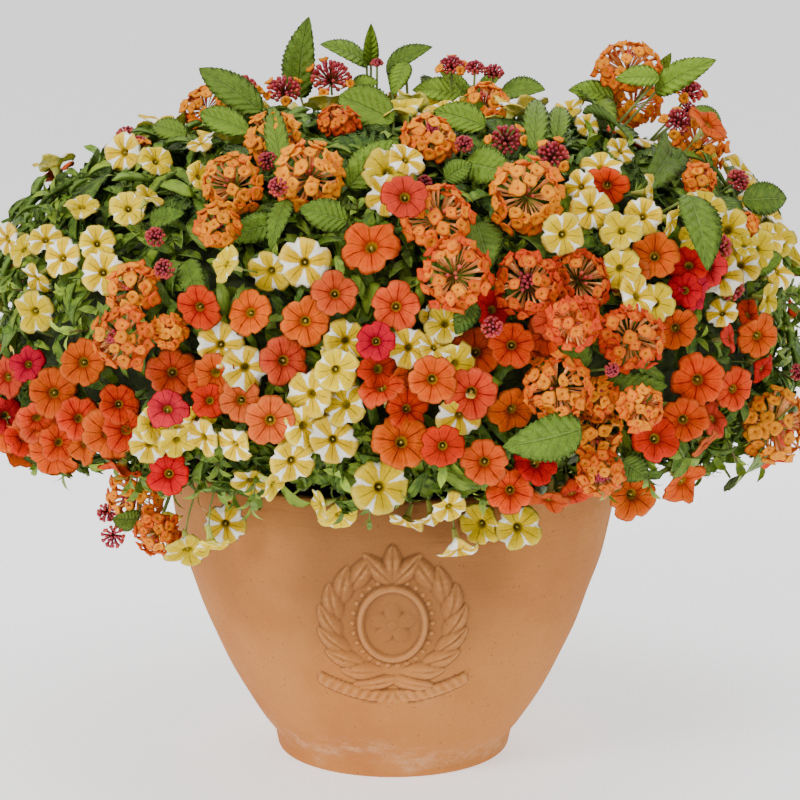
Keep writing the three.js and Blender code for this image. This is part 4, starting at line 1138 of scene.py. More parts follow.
@dataclass(frozen=True)
class Blade:
    """A leaf's finish: veins on the UV map, quilting between them, a paler underside."""

    name: str
    deep: tuple
    fresh: tuple
    vein: tuple
    under: tuple
    side_veins: float
    quilt: float
    gloss: float

    def build(self) -> bpy.types.Material:
        """The material. Its tint gives freshness, light and depth; the depth darkens it as painted shade."""
        wires = Coat(self.name)
        u, v = wires.uv()
        fresh, light, depth, _ = wires.tint()
        doubled = wires.times(u, 2)
        below = wires.math("GREATER_THAN", doubled, 1)
        across = wires.math("ABSOLUTE", wires.less(wires.math("FRACT", doubled), 0.5))
        across = wires.times(across, 2)
        midrib = wires.ramp(across, 0.03, 0.09, 1, 0)
        slanted = wires.less(wires.times(v, self.side_veins), wires.times(across, self.side_veins * 0.22))
        comb = wires.math("PINGPONG", slanted, 0.5)
        side = wires.ramp(comb, 0.02, 0.08, 1, 0)
        veins = wires.math("MAXIMUM", midrib, wires.times(side, 0.45))
        place = wires.object_place()
        cells = wires.node("ShaderNodeTexVoronoi", {"Vector": place, "Scale": 850.0}).outputs["Distance"]
        colour = wires.over(self.deep, self.fresh, fresh, 0, 1)
        blotch = wires.ramp(wires.noise(place, 240, 3), 0.35, 0.7, 0, 0.4)
        colour = wires.mix(blotch, colour, self.fresh)
        colour = wires.mix(wires.times(veins, 0.42), colour, self.vein)
        colour = wires.mix(wires.times(below, 0.75), colour, self.under)
        colour = shaded(wires, colour, light, depth)
        swell = wires.less(wires.ramp(comb, 0, 0.5), wires.times(midrib, 1.2))
        height = wires.less(swell, wires.times(cells, 0.7))
        return wires.finished({
            "Base Color": colour, "Normal": wires.bump(height, self.quilt),
            "Roughness": wires.ramp(cells, 0, 1, self.gloss - 0.06, self.gloss + 0.1),
            "Specular IOR Level": 0.2})


@dataclass(frozen=True)
class Bark:
    """The green to brown skin of stems and stalks."""

    green: tuple = srgb(118, 146, 62)
    brown: tuple = srgb(112, 84, 52)

    def build(self) -> bpy.types.Material:
        """The material. Its tint gives age, light and depth; the depth darkens it as painted shade."""
        wires = Coat("stem skin")
        age, light, depth, _ = wires.tint()
        place = wires.object_place()
        colour = wires.mix(age, self.green, self.brown)
        streak = wires.noise(wires.stretched(place, (1, 1, 0.3)), 700, 3)
        colour = wires.over(colour, self.brown, streak, 0.4, 0.7, 0, 0.35)
        colour = shaded(wires, colour, light, depth)
        return wires.finished({
            "Base Color": colour, "Normal": wires.bump(streak, 0.0003), "Roughness": 0.6})


@dataclass(frozen=True)
class LeafShade:
    """A dark sheet of painted shade at the heart of the plants, flecked green like leaves."""

    dark: tuple = srgb(46, 54, 20)
    green: tuple = srgb(84, 102, 42)

    def build(self) -> bpy.types.Material:
        """The material."""
        wires = Coat("leaf shade")
        place = wires.object_place()
        cells = wires.node("ShaderNodeTexVoronoi", {"Vector": place, "Scale": 60.0}).outputs["Distance"]
        flecks = wires.noise(place, 110, 4, 0.7)
        colour = wires.over(self.dark, self.green, flecks, 0.45, 0.72)
        return wires.finished({"Base Color": colour, "Normal": wires.bump(cells, 0.01), "Roughness": 0.9})


LOBES = 5
THROAT, EDGE, NECK = 0.2, 0.6, 0.86


@dataclass(frozen=True)
class Petal:
    """A calibrachoa bloom's finish, on its UV map: u goes around, v from the pistil to the tube.

    Inside from THROAT to EDGE, outside from EDGE to NECK, then the tube.
    """

    name: str
    bar: tuple
    wedge: tuple
    bar_width: float
    bar_flare: float
    softness: float
    vein: tuple
    vein_strength: float
    fold: float
    vein_reach: float
    heart: tuple
    heart_reach: float
    edge: tuple
    edge_share: float
    back: tuple
    throat: tuple = srgb(150, 118, 8)
    pistil: tuple = srgb(200, 180, 84)
    throat_shade: tuple = srgb(62, 44, 6)
    tube: tuple = srgb(196, 190, 110)

    def build(self) -> bpy.types.Material:
        """The material. Its tint gives hue, light, depth and fade; the depth darkens it as painted shade."""
        wires = Coat(self.name)
        u, v = wires.uv()
        hue, light, depth, fade = wires.tint()
        place = wires.object_place()
        phase = wires.math("FRACT", wires.times(u, LOBES))
        wobble = wires.times(wires.less(wires.noise(place, 230, 3), 0.5), 0.42)
        off = wires.math("ABSOLUTE", wires.less(wires.times(phase, 2), 1))
        line = wires.plus(off, wires.times(wobble, 0.3))
        off = wires.plus(off, wobble)
        outward = wires.math("MINIMUM", wires.ramp(v, THROAT, EDGE), wires.ramp(v, EDGE, NECK, 1, 0))
        drawn = wires.ramp(hue, 0, 1, self.bar_width - 0.16, self.bar_width + 0.16)
        width = wires.math("MULTIPLY_ADD", outward, self.bar_flare, drawn)
        over = wires.less(off, width)
        colour = wires.over(self.bar, self.wedge, over, -self.softness, self.softness)
        rim = wires.ramp(outward, 0.72, 1.0, 0, self.edge_share)
        colour = wires.mix(rim, colour, self.edge)
        main = wires.ramp(line, 0.02, 0.13, 1, 0)
        fold = wires.ramp(line, 0.88, 0.99, 0, self.fold)
        fine = wires.math("PINGPONG", wires.times(u, LOBES * 6), 0.5)
        fine = wires.times(wires.ramp(fine, 0.0, 0.28, 1, 0), 0.24)
        veins = wires.math("MAXIMUM", wires.math("MAXIMUM", main, fold), fine)
        veins = wires.times(veins, wires.ramp(outward, self.vein_reach, 0.5, 0, 1))
        colour = wires.mix(wires.times(veins, self.vein_strength), colour, self.vein)
        colour = wires.over(colour, self.heart, outward, 0.15, self.heart_reach, 0.75, 0)
        outside = wires.math("GREATER_THAN", v, EDGE + 0.002)
        colour = wires.mix(wires.times(outside, 0.7), colour, self.back)
        colour = wires.over(colour, self.throat, outward, 0.07, 0.19, 1, 0)
        # A dark ring deep in the throat: painted shade.
        colour = wires.over(colour, self.throat_shade, v, THROAT - 0.03, THROAT + 0.05, 0.48, 0)
        colour = wires.over(colour, self.pistil, v, 0.08, 0.11, 1, 0)
        colour = wires.over(colour, self.tube, v, NECK - 0.06, NECK)
        turned = wires.ramp(hue, 0, 1, 0.494, 0.51)
        inputs = {"Color": colour, "Hue": turned, "Saturation": wires.ramp(fade, 0, 1, 1.02, 0.988)}
        colour = wires.node("ShaderNodeHueSaturation", inputs).outputs[0]
        colour = shaded(wires, colour, light, depth)
        crinkle = wires.noise(place, 420, 3)
        height = wires.less(crinkle, wires.times(veins, 0.25))
        return wires.finished({
            "Base Color": colour, "Normal": wires.bump(height, 0.0011), "Roughness": 0.7,
            "Specular IOR Level": 0.08})


@dataclass(frozen=True)
class FloretFinish:
    """A lantana floret: v runs from the throat over the limb's edge and down the tube."""

    young: tuple = srgb(238, 150, 0)
    grown: tuple = srgb(224, 98, 6)
    old: tuple = srgb(198, 50, 14)
    throat: tuple = srgb(130, 30, 2)
    under: tuple = srgb(200, 82, 24)
    tube: tuple = srgb(250, 176, 104)
    foot: tuple = srgb(190, 190, 60)
    rim: float = 0.5

    def build(self) -> bpy.types.Material:
        """The material. Its tint gives age, light and depth; the depth darkens it as painted shade."""
        wires = Coat("lantana floret")
        u, v = wires.uv()
        age, light, depth, _ = wires.tint()
        place = wires.object_place()
        colour = wires.over(self.young, self.grown, age, 0.0, 0.5)
        colour = wires.over(colour, self.old, age, 0.5, 1.0)
        blush = wires.ramp(wires.noise(place, 300, 3), 0.4, 0.7, 0, 0.35)
        colour = wires.mix(blush, colour, self.old)
        inner = wires.times(wires.ramp(v, 0.1, 0.38, 0.85, 0), wires.ramp(age, 0.4, 1, 1, 0.2))
        colour = wires.mix(inner, colour, self.young)
        # Dark lines where the lobes meet: painted shade in the creases, in the throat's colour.
        lobe = wires.math("PINGPONG", wires.times(u, 4), 0.5)
        crease_shade = wires.times(wires.ramp(lobe, 0.0, 0.12, 0.3, 0), wires.ramp(v, self.rim, 0.25))
        colour = wires.mix(crease_shade, colour, self.throat)
        colour = wires.over(colour, self.throat, v, 0.05, 0.17, 0.7, 0)
        colour = wires.over(colour, self.under, v, self.rim + 0.02, self.rim + 0.1, 0, 0.8)
        colour = wires.over(colour, self.tube, v, 0.66, 0.76)
        colour = wires.over(colour, self.foot, v, 0.88, 1.0)
        colour = shaded(wires, colour, light, depth)
        return wires.finished({
            "Base Color": colour, "Normal": wires.bump(wires.noise(place, 700, 2), 0.0004),
            "Roughness": 0.6, "Specular IOR Level": 0.15})


@dataclass(frozen=True)
class BudFinish:
    """A closed lantana bud: crimson with a darker top, greener at the foot."""

    crimson: tuple = srgb(176, 38, 58)
    plum: tuple = srgb(112, 22, 44)
    coral: tuple = srgb(214, 80, 56)
    foot: tuple = srgb(140, 130, 50)

    def build(self) -> bpy.types.Material:
        """The material. Its tint gives ripeness, light and depth; the depth darkens it as painted shade."""
        wires = Coat("lantana bud")
        _, v = wires.uv()
        ripe, light, depth, _ = wires.tint()
        place = wires.object_place()
        colour = wires.over(self.plum, self.crimson, ripe, 0, 0.5)
        colour = wires.over(colour, self.coral, ripe, 0.55, 1)
        colour = wires.over(colour, self.plum, v, 0.05, 0.4, 0.5, 0)
        colour = wires.over(colour, self.foot, v, 0.7, 1.0)
        colour = shaded(wires, colour, light, depth)
        return wires.finished({
            "Base Color": colour, "Normal": wires.bump(wires.noise(place, 900, 2), 0.0003),
            "Roughness": 0.55})


@dataclass(frozen=True)
class Floor:
    """A plain pale studio floor."""

    colour: tuple = (0.93, 0.93, 0.93, 1.0)
    clouded: tuple = (0.86, 0.86, 0.86, 1.0)
    glow: float = 0.8

    def build(self) -> bpy.types.Material:
        """The material."""
        wires = Coat("studio floor")
        cloud = wires.noise(wires.object_place(), 2, 1)
        colour = wires.over(self.colour, self.clouded, cloud, 0, 1, 0, 0.02)
        return wires.finished({"Base Color": colour, "Roughness": 0.9, "Emission Color": (1, 1, 1, 1),
                               "Emission Strength": self.glow})


YELLOW_PETAL = Petal(
    "yellow and white petal", bar=srgb(218, 180, 0), wedge=srgb(250, 248, 230), bar_width=1.0,
    bar_flare=-0.3, softness=0.1, vein=srgb(96, 78, 0), vein_strength=0.6, fold=0.0, vein_reach=1.1,
    heart=srgb(200, 162, 0), heart_reach=0.3, edge=srgb(248, 236, 150), edge_share=0.22,
    back=srgb(250, 234, 112), throat=srgb(154, 130, 10), tube=srgb(196, 200, 96))
ORANGE_PETAL = Petal(
    "terracotta orange petal", bar=srgb(198, 60, 18), wedge=srgb(204, 72, 24), bar_width=0.45,
    bar_flare=0.0, softness=0.3, vein=srgb(84, 8, 3), vein_strength=0.85, fold=0.7, vein_reach=1.3,
    heart=srgb(128, 16, 4), heart_reach=0.5, edge=srgb(212, 102, 54), edge_share=0.45,
    back=srgb(186, 74, 26), throat=srgb(158, 116, 12))
RED_PETAL = Petal(
    "red petal", bar=srgb(186, 22, 30), wedge=srgb(190, 30, 34), bar_width=0.45, bar_flare=0.0,
    softness=0.3, vein=srgb(84, 0, 8), vein_strength=0.8, fold=0.6, vein_reach=1.25,
    heart=srgb(108, 2, 8), heart_reach=0.55, edge=srgb(212, 36, 28), edge_share=0.4,
    back=srgb(188, 56, 40))
LANTANA_BLADE = Blade(
    "lantana leaf", deep=srgb(54, 84, 26), fresh=srgb(124, 154, 42), vein=srgb(124, 152, 70),
    under=srgb(116, 144, 72), side_veins=8.0, quilt=0.0007, gloss=0.54)
SHOOT_BLADE = Blade(
    "calibrachoa leaf", deep=srgb(64, 96, 28), fresh=srgb(150, 176, 54), vein=srgb(124, 156, 66),
    under=srgb(118, 148, 68), side_veins=3.0, quilt=0.0002, gloss=0.42)


# ---- pot and soil


@dataclass
class Pot:
    """A terracotta bowl with a foot band, a raised cartouche in a wreath and three drain holes (mm)."""

    outline: tuple = ((74.4, 5), (76.1, 13), (79.6, 17), (88.9, 30), (100, 50), (112.4, 75),
                      (121.9, 100), (132.5, 130), (139, 160), (140, 185))
    inside: tuple = ((130.5, 186), (123, 130), (102.9, 75), (79.4, 30), (70, 17), (62, 14))
    foot_radius: float = 72.4
    height: float = 189.0
    floor: float = 14.0
    drain_radius: float = 5.0
    drain_circle: float = 38.0
    drain_rows: tuple = (12, 24, 30, 32.5, 34.5, 36.5, 38, 39.5, 41.5, 43.5, 46, 54)
    columns: int = 248
    front_share: float = 0.44
    front_half_angle: float = 0.44
    relief_zone: tuple = (58.0, 168.0)
    fine_row: float = 1.0
    plain_row: float = 3.2
    relief_height: float = 113.0
    cartouche: tuple = (20.0, 25.0)
    cartouche_section: tuple = ((0.74, 1.0), (0.82, 1.5), (0.9, 4.0), (0.98, 3.4), (1.06, 0))
    bead_ring: tuple = (23.4, 28.2)
    bead_count: int = 26
    bead_height: float = 1.5
    wreath: float = 37.0
    wreath_leaf: tuple = (27.0, 13.0)
    wreath_leaves: int = 7
    palmette: tuple = (26.0, 11.0, 28.0, 12.0)
    ribbon: tuple = (11.0, -41.0, 32.0, 10.0)
    proud: float = 4.4
    rope: tuple = (46.0, -50.0, 11.0, 4.4)
    crevice_step: float = 1.5

    def radius(self, height: float) -> float:
        """The outer wall's radius at a height."""
        levels = [level for _, level in self.outline]
        return float(np.interp(height, levels, [radius for radius, _ in self.outline]))

    def wall_points(self) -> list[tuple[float, float]]:
        """The rounded outer wall from foot to rim, with fine rows where the relief is."""
        points = [(self.foot_radius, 0.0), (self.foot_radius + 1.2, 1.2), *self.outline,
                  (139.6, self.height - 1), (138.6, self.height)]
        for _ in range(3):
            cut = [points[0]]
            for (r0, z0), (r1, z1) in zip(points, points[1:]):
                cut += [(0.75 * r0 + 0.25 * r1, 0.75 * z0 + 0.25 * z1),
                        (0.25 * r0 + 0.75 * r1, 0.25 * z0 + 0.75 * z1)]
            points = cut + [points[-1]]
        radii, levels = np.array(points).T
        run = np.concatenate(([0], np.cumsum(np.hypot(np.diff(radii), np.diff(levels)))))
        stops, here = [0.0], 0.0
        while here < run[-1] - self.fine_row:
            level = np.interp(here, run, levels)
            fine = self.relief_zone[0] < level < self.relief_zone[1] or level < 20 or level > 180
            here += self.fine_row if fine else self.plain_row
            stops.append(min(here, run[-1]))
        return [(float(np.interp(s, run, radii)), float(np.interp(s, run, levels))) for s in stops]

    def relief(self, across: np.ndarray, up: np.ndarray) -> np.ndarray:
        """How far the wall stands proud.

        Args:
            across: millimetres to the right of the front's middle.
            up: millimetres above the relief's middle.

        Returns:
            The height in millimetres, for each point.
        """
        oval = np.hypot(across / self.cartouche[0], up / self.cartouche[1])
        height = np.interp(oval, *np.array(self.cartouche_section).T)
        angle, reach = np.arctan2(up, across), np.hypot(across, up)
        rosette = 14.5 * (0.6 + 0.4 * np.abs(np.cos(2.5 * (angle - math.pi / 2))))
        petals = np.clip(1 - (reach / rosette) ** 3, 0, 1) * 2.4 * np.clip(reach / 4.2, 0.2, 1)
        height = height + petals + 2.2 * np.clip(1 - (reach / 3.4) ** 2, 0, 1)
        for leaf in self.relief_leaves():
            height = np.maximum(height, self.relief_leaf(across, up, *leaf))
        return np.maximum(np.maximum(height, self.beads(across, up)), self.twisted_rope(across, up))

    def twisted_rope(self, across: np.ndarray, up: np.ndarray) -> np.ndarray:
        """The height of a twisted rope that hangs in a swag under the wreath."""
        half, low, swing, thick = self.rope
        off = (up - low - swing * (across / half) ** 2) / thick
        round_form = np.sqrt(np.clip(1 - off ** 2, 0, 1)) * np.clip((half - np.abs(across)) / 3, 0, 1)
        return thick * 0.72 * round_form * (1 + 0.2 * np.cos(1.15 * np.abs(across) + 2.2 * off))

    def relief_leaves(self) -> list[tuple[float, float, float, float, float]]:
        """Middle, length, breadth and slope of each raised leaf of the wreath, palmette and ribbon."""
        leaves = []
        for side in (-1, 1):
            for i in range(self.wreath_leaves):
                angle = math.radians(-72 + 142 * (i + 0.5) / self.wreath_leaves)
                rising = angle + math.radians(62)
                slope = rising if side > 0 else math.pi - rising
                leaves.append((side * self.wreath * math.cos(angle), self.wreath * math.sin(angle),
                               *self.wreath_leaf, slope))
            across, level, length, breadth = self.ribbon
            leaves.append((side * across, level, length, breadth, side * math.radians(-14)))
        level, reach, length, breadth = self.palmette
        for lean in (-42, 0, 42):
            angle = math.radians(90 + lean)
            leaves.append((reach * math.cos(angle), level + reach * math.sin(angle), length, breadth, angle))
        return leaves

    def relief_leaf(self, across: np.ndarray, up: np.ndarray, x: float, y: float, length: float,
                    breadth: float, slope: float) -> np.ndarray:
        """The height of one raised leaf, with a sunk midrib and soft side veins."""
        forward = ((across - x) * math.cos(slope) + (up - y) * math.sin(slope)) / (length / 2)
        side = ((up - y) * math.cos(slope) - (across - x) * math.sin(slope)) / (breadth / 2)
        room = np.clip(1 - forward ** 2, 0, 1) ** 0.8
        share = np.abs(side) / np.maximum(room, 0.02)
        body = np.clip(1 - share ** 2.4, 0, 1) * np.clip(1.15 - np.abs(forward - 0.15), 0, 1)
        rib = 0.26 * np.exp(-((side * breadth / 2) / 0.9) ** 2)
        veins = 0.08 * np.cos(9 * (forward - 0.5 * np.abs(side)))
        return np.where(room > 0.02, self.proud * body * (1 - rib) + veins * (body > 0.2), 0)

    def beads(self, across: np.ndarray, up: np.ndarray) -> np.ndarray:
        """A ring of small beads between the cartouche and the wreath."""
        height = np.zeros_like(across)
        for i in range(self.bead_count):
            angle = TURN * i / self.bead_count
            x, y = self.bead_ring[0] * math.cos(angle), self.bead_ring[1] * math.sin(angle)
            bead = np.clip(1 - ((across - x) ** 2 + (up - y) ** 2) / 3.2, 0, 1)
            height = np.maximum(height, self.bead_height * bead)
        return height

    def build(self) -> None:
        """Spins the wall, presses the relief, opens the drain holes and dresses the pot."""
        bm = bmesh.new()
        underside = [(0.0, 0.0), *((radius, 0.0) for radius in self.drain_rows), (64.0, 0.0)]
        wall = self.wall_points()
        inner = [(135.4, self.height + 0.3), (132.4, self.height - 0.4), *self.inside]
        floor = [(radius, self.floor) for radius in reversed(self.drain_rows)] + [(0.0, self.floor)]
        verts = [bm.verts.new((radius, 0, level)) for radius, level in (*underside, *wall, *inner, *floor)]
        edges = [bm.edges.new(pair) for pair in zip(verts, verts[1:])]
        bmesh.ops.spin(bm, geom=verts + edges, cent=(0, 0, 0), axis=(0, 0, 1), angle=TURN,
                       steps=self.columns, use_merge=True, use_duplicate=False)
        bmesh.ops.remove_doubles(bm, verts=bm.verts[:], dist=0.01)
        self.press(bm)
        self.open_drains(bm)
        bmesh.ops.recalc_face_normals(bm, faces=bm.faces[:])
        bmesh.ops.scale(bm, vec=(MM, MM, MM), verts=bm.verts[:])
        for face in bm.faces:
            face.smooth = True
        finish_piece(mesh_of("terracotta_pot", bm), [Terracotta().build()], ["pot"])

    def press(self, bm: bmesh.types.BMesh) -> None:
        """Gathers columns to the front, then moves the outer wall by its relief and hand-made wave."""
        points = np.array([tuple(vert.co) for vert in bm.verts])
        radii = np.hypot(points[:, 0], points[:, 1])
        front = np.arctan2(points[:, 1], points[:, 0]) + math.pi / 2
        front = (front + math.pi) % TURN - math.pi
        share = self.front_share * math.pi
        angles = np.interp(front, (-math.pi, -share, share, math.pi),
                           (-math.pi, -self.front_half_angle, self.front_half_angle, math.pi))
        levels = points[:, 2]
        outer = radii > np.interp(levels, (0, 12, 14, 186, 189), (71, 71, 66, 132.5, 137))
        across, up, step = angles * radii, levels - self.relief_height, self.crevice_step
        relief = self.relief(across, up)
        # How far each point of the relief lies below its neighbours; the finish paints shade in these hollows
        # and highlight on the ridges.
        shifts = ((step, 0), (-step, 0), (0, step), (0, -step))
        around = sum(self.relief(across + x, up + y) for x, y in shifts)
        crevice_shades = np.where(outer, np.clip(1.6 * (around / 4 - relief), -1, 1), 0)
        layer = bm.verts.layers.float.new("crevice_shade")
        wave = 0.45 * np.sin(2 * angles + 0.6) + 0.25 * np.sin(5 * angles + levels / 37)
        wave += 0.22 * np.sin(levels / 6.5 + 0.8 * np.sin(angles)) * (levels > 20)
        soft = np.clip(levels / 20, 0, 1)
        radii = radii + np.where(outer, relief + wave * soft, 0)
        for vert, angle, radius, crevice_shade in zip(bm.verts, angles - math.pi / 2, radii, crevice_shades):
            vert.co.x, vert.co.y = radius * math.cos(angle), radius * math.sin(angle)
            vert[layer] = crevice_shade

    def open_drains(self, bm: bmesh.types.BMesh) -> None:
        """Cuts three holes through the underside and the floor and joins their edges."""
        for i in range(3):
            azimuth = math.pi / 2 + i * TURN / 3
            middle = Vector((math.cos(azimuth), math.sin(azimuth), 0)) * self.drain_circle
            inside = [
                face for face in bm.faces
                if (face.calc_center_median().xy - middle.xy).length < self.drain_radius
                and face.calc_center_median().z < self.floor + 1
            ]
            bmesh.ops.delete(bm, geom=inside, context="FACES")
            rim = [edge for edge in bm.edges if edge.is_boundary]
            for vert in {vert for edge in rim for vert in edge.verts}:
                out = (vert.co.xy - middle.xy).normalized() * self.drain_radius
                vert.co.x, vert.co.y = middle.x + out.x, middle.y + out.y
            bmesh.ops.bridge_loops(bm, edges=rim)


@dataclass
class Soil:
    """The potting soil keeps its packed form and gets its finish."""

    def build(self) -> None:
        """Dresses the frame's node."""
        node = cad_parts["soil"]
        node.data.materials.clear()
        node.data.materials.append(Peat().build())
        LOG.info("soil: finished")


# ---- leaves and stems


LEAF_SLOT, SHOOT_SLOT, STEM_SLOT, SHADE_SHEET_SLOT = range(4)


@dataclass(frozen=True)
class LeafForm:
    """A toothed, keeled and arched blade: x in half breadths, y and z in lengths."""

    across: int
    along: int
    tooth: float
    keel: float
    bow: float
    droop: float
    twist: float
    fullness: tuple = (0.55, 0.85, 2.555)
    thickness: float = 0.006
    lean: float = 0.3

    def template(self, name: str, slot: int) -> Template:
        """The leaf's closed mesh: its upper face, then its underside."""
        rows = self.along
        stations = [i / rows for i in range(rows + 1)]
        for i in range(1, rows):
            stations[i] += self.lean / rows * (i % 2)
        return rolled(name, 2 * self.across, stations, self.shape, slot)

    def shape(self, turn: np.ndarray, along: np.ndarray) -> np.ndarray:
        """Points from the turn around the blade and the place along it."""
        upper = turn < 0.5
        share = np.where(upper, 4 * turn - 1, 3 - 4 * turn)
        foot, point, scale = self.fullness
        width = scale * along ** foot * np.clip(1 - along, 0, 1) ** point
        out = np.round(along * self.along - self.lean / 2).astype(int) % 2
        toothed = self.tooth * np.abs(share)
        width = width * np.where(out == 1, 1 + toothed, 1 - 0.4 * toothed)
        x = -share * width
        z = self.keel * np.abs(x) + self.bow * np.sin(math.pi * along) - self.droop * along ** 2
        z = z + self.twist * x * along + 0.006 * np.cos(along * 50) * np.abs(x)
        skin = self.thickness * np.sqrt(np.clip(1 - share ** 2, 0, 1)) * (width > 0)
        z = z + np.where(upper, skin, -skin)
        return np.column_stack((x, along, z))


@dataclass(frozen=True)
class ShootForm:
    """A calibrachoa shoot: narrow leaves in a spiral up a thin stem, one unit long."""

    leaves: int = 11
    leaf_length: float = 0.4
    leaf_breadth: float = 0.15
    stem: float = 0.018

    def template(self, name: str, seed: int) -> Template:
        """The shoot's mesh, made of small stamped leaves on a stem."""
        draws = Draws(seed)
        form = LeafForm(1, 4, 0.0, 0.12, 0.05, 0.14, 0.0, (0.7, 0.6, 2.45), 0.012, 0.0)
        leaf = form.template("blade", SHOOT_SLOT)
        stem = rolled("twig", 4, (0, 0.02, 0.98, 1), stem_shape, STEM_SLOT)
        cluster = Cluster(name)
        top = Vector((0, 0, 1))
        axes = (Vector((1, 0, 0)), Vector((0, 1, 0)), top)
        points = placed(stem, Vector(), axes, (self.stem, self.stem, 1))
        cluster.stamp(stem, points / MM, (0, 0.5, 0, 0))
        for i in range(self.leaves):
            rise = 0.2 + 0.78 * i / (self.leaves - 1)
            angle = i * GOLDEN_TURN + draws.between(-0.3, 0.3)
            out = Vector((math.cos(angle), math.sin(angle), 0))
            lift = 0.25 + 1.3 * rise ** 3 + draws.between(-0.15, 0.15)
            forward = (out + top * lift).normalized()
            side = forward.cross(top - out * 0.3).normalized()
            size = (1.1 - 0.45 * rise) * draws.between(0.85, 1.15)
            points = placed(leaf, top * rise, (side, forward, side.cross(forward)),
                            (self.leaf_breadth * size / 2, self.leaf_length * size, self.leaf_length * size))
            cluster.stamp(leaf, points / MM, (0, 0.5, 0, 0))
        return as_template(name, cluster.bm)


def stem_shape(turn: np.ndarray, along: np.ndarray) -> np.ndarray:
    """A straight round stem, closed at both ends."""
    width = np.where((along < 0.001) | (along > 0.999), 0, 1 - 0.3 * along)
    return round_points(turn, width, along)


def bent(template: Template, path: Sequence[Vector], radius: float) -> np.ndarray:
    """A straight stem's points along a curve.

    Args:
        template: a stem template.
        path: start, bend and end of the curve.
        radius: the stem's radius at its foot.

    Returns:
        The points, in millimetres.
    """
    start, bend, end = (np.array(tuple(point)) for point in path)
    share = template.points[:, 2:3]
    line = (1 - share) ** 2 * start + 2 * share * (1 - share) * bend + share ** 2 * end
    axis = Vector(end - start).normalized() if np.linalg.norm(end - start) > 0 else Vector((0, 0, 1))
    right, up = across_axes(axis)
    return line + radius * (template.points[:, :1] * np.array(tuple(right))
                            + template.points[:, 1:2] * np.array(tuple(up)))


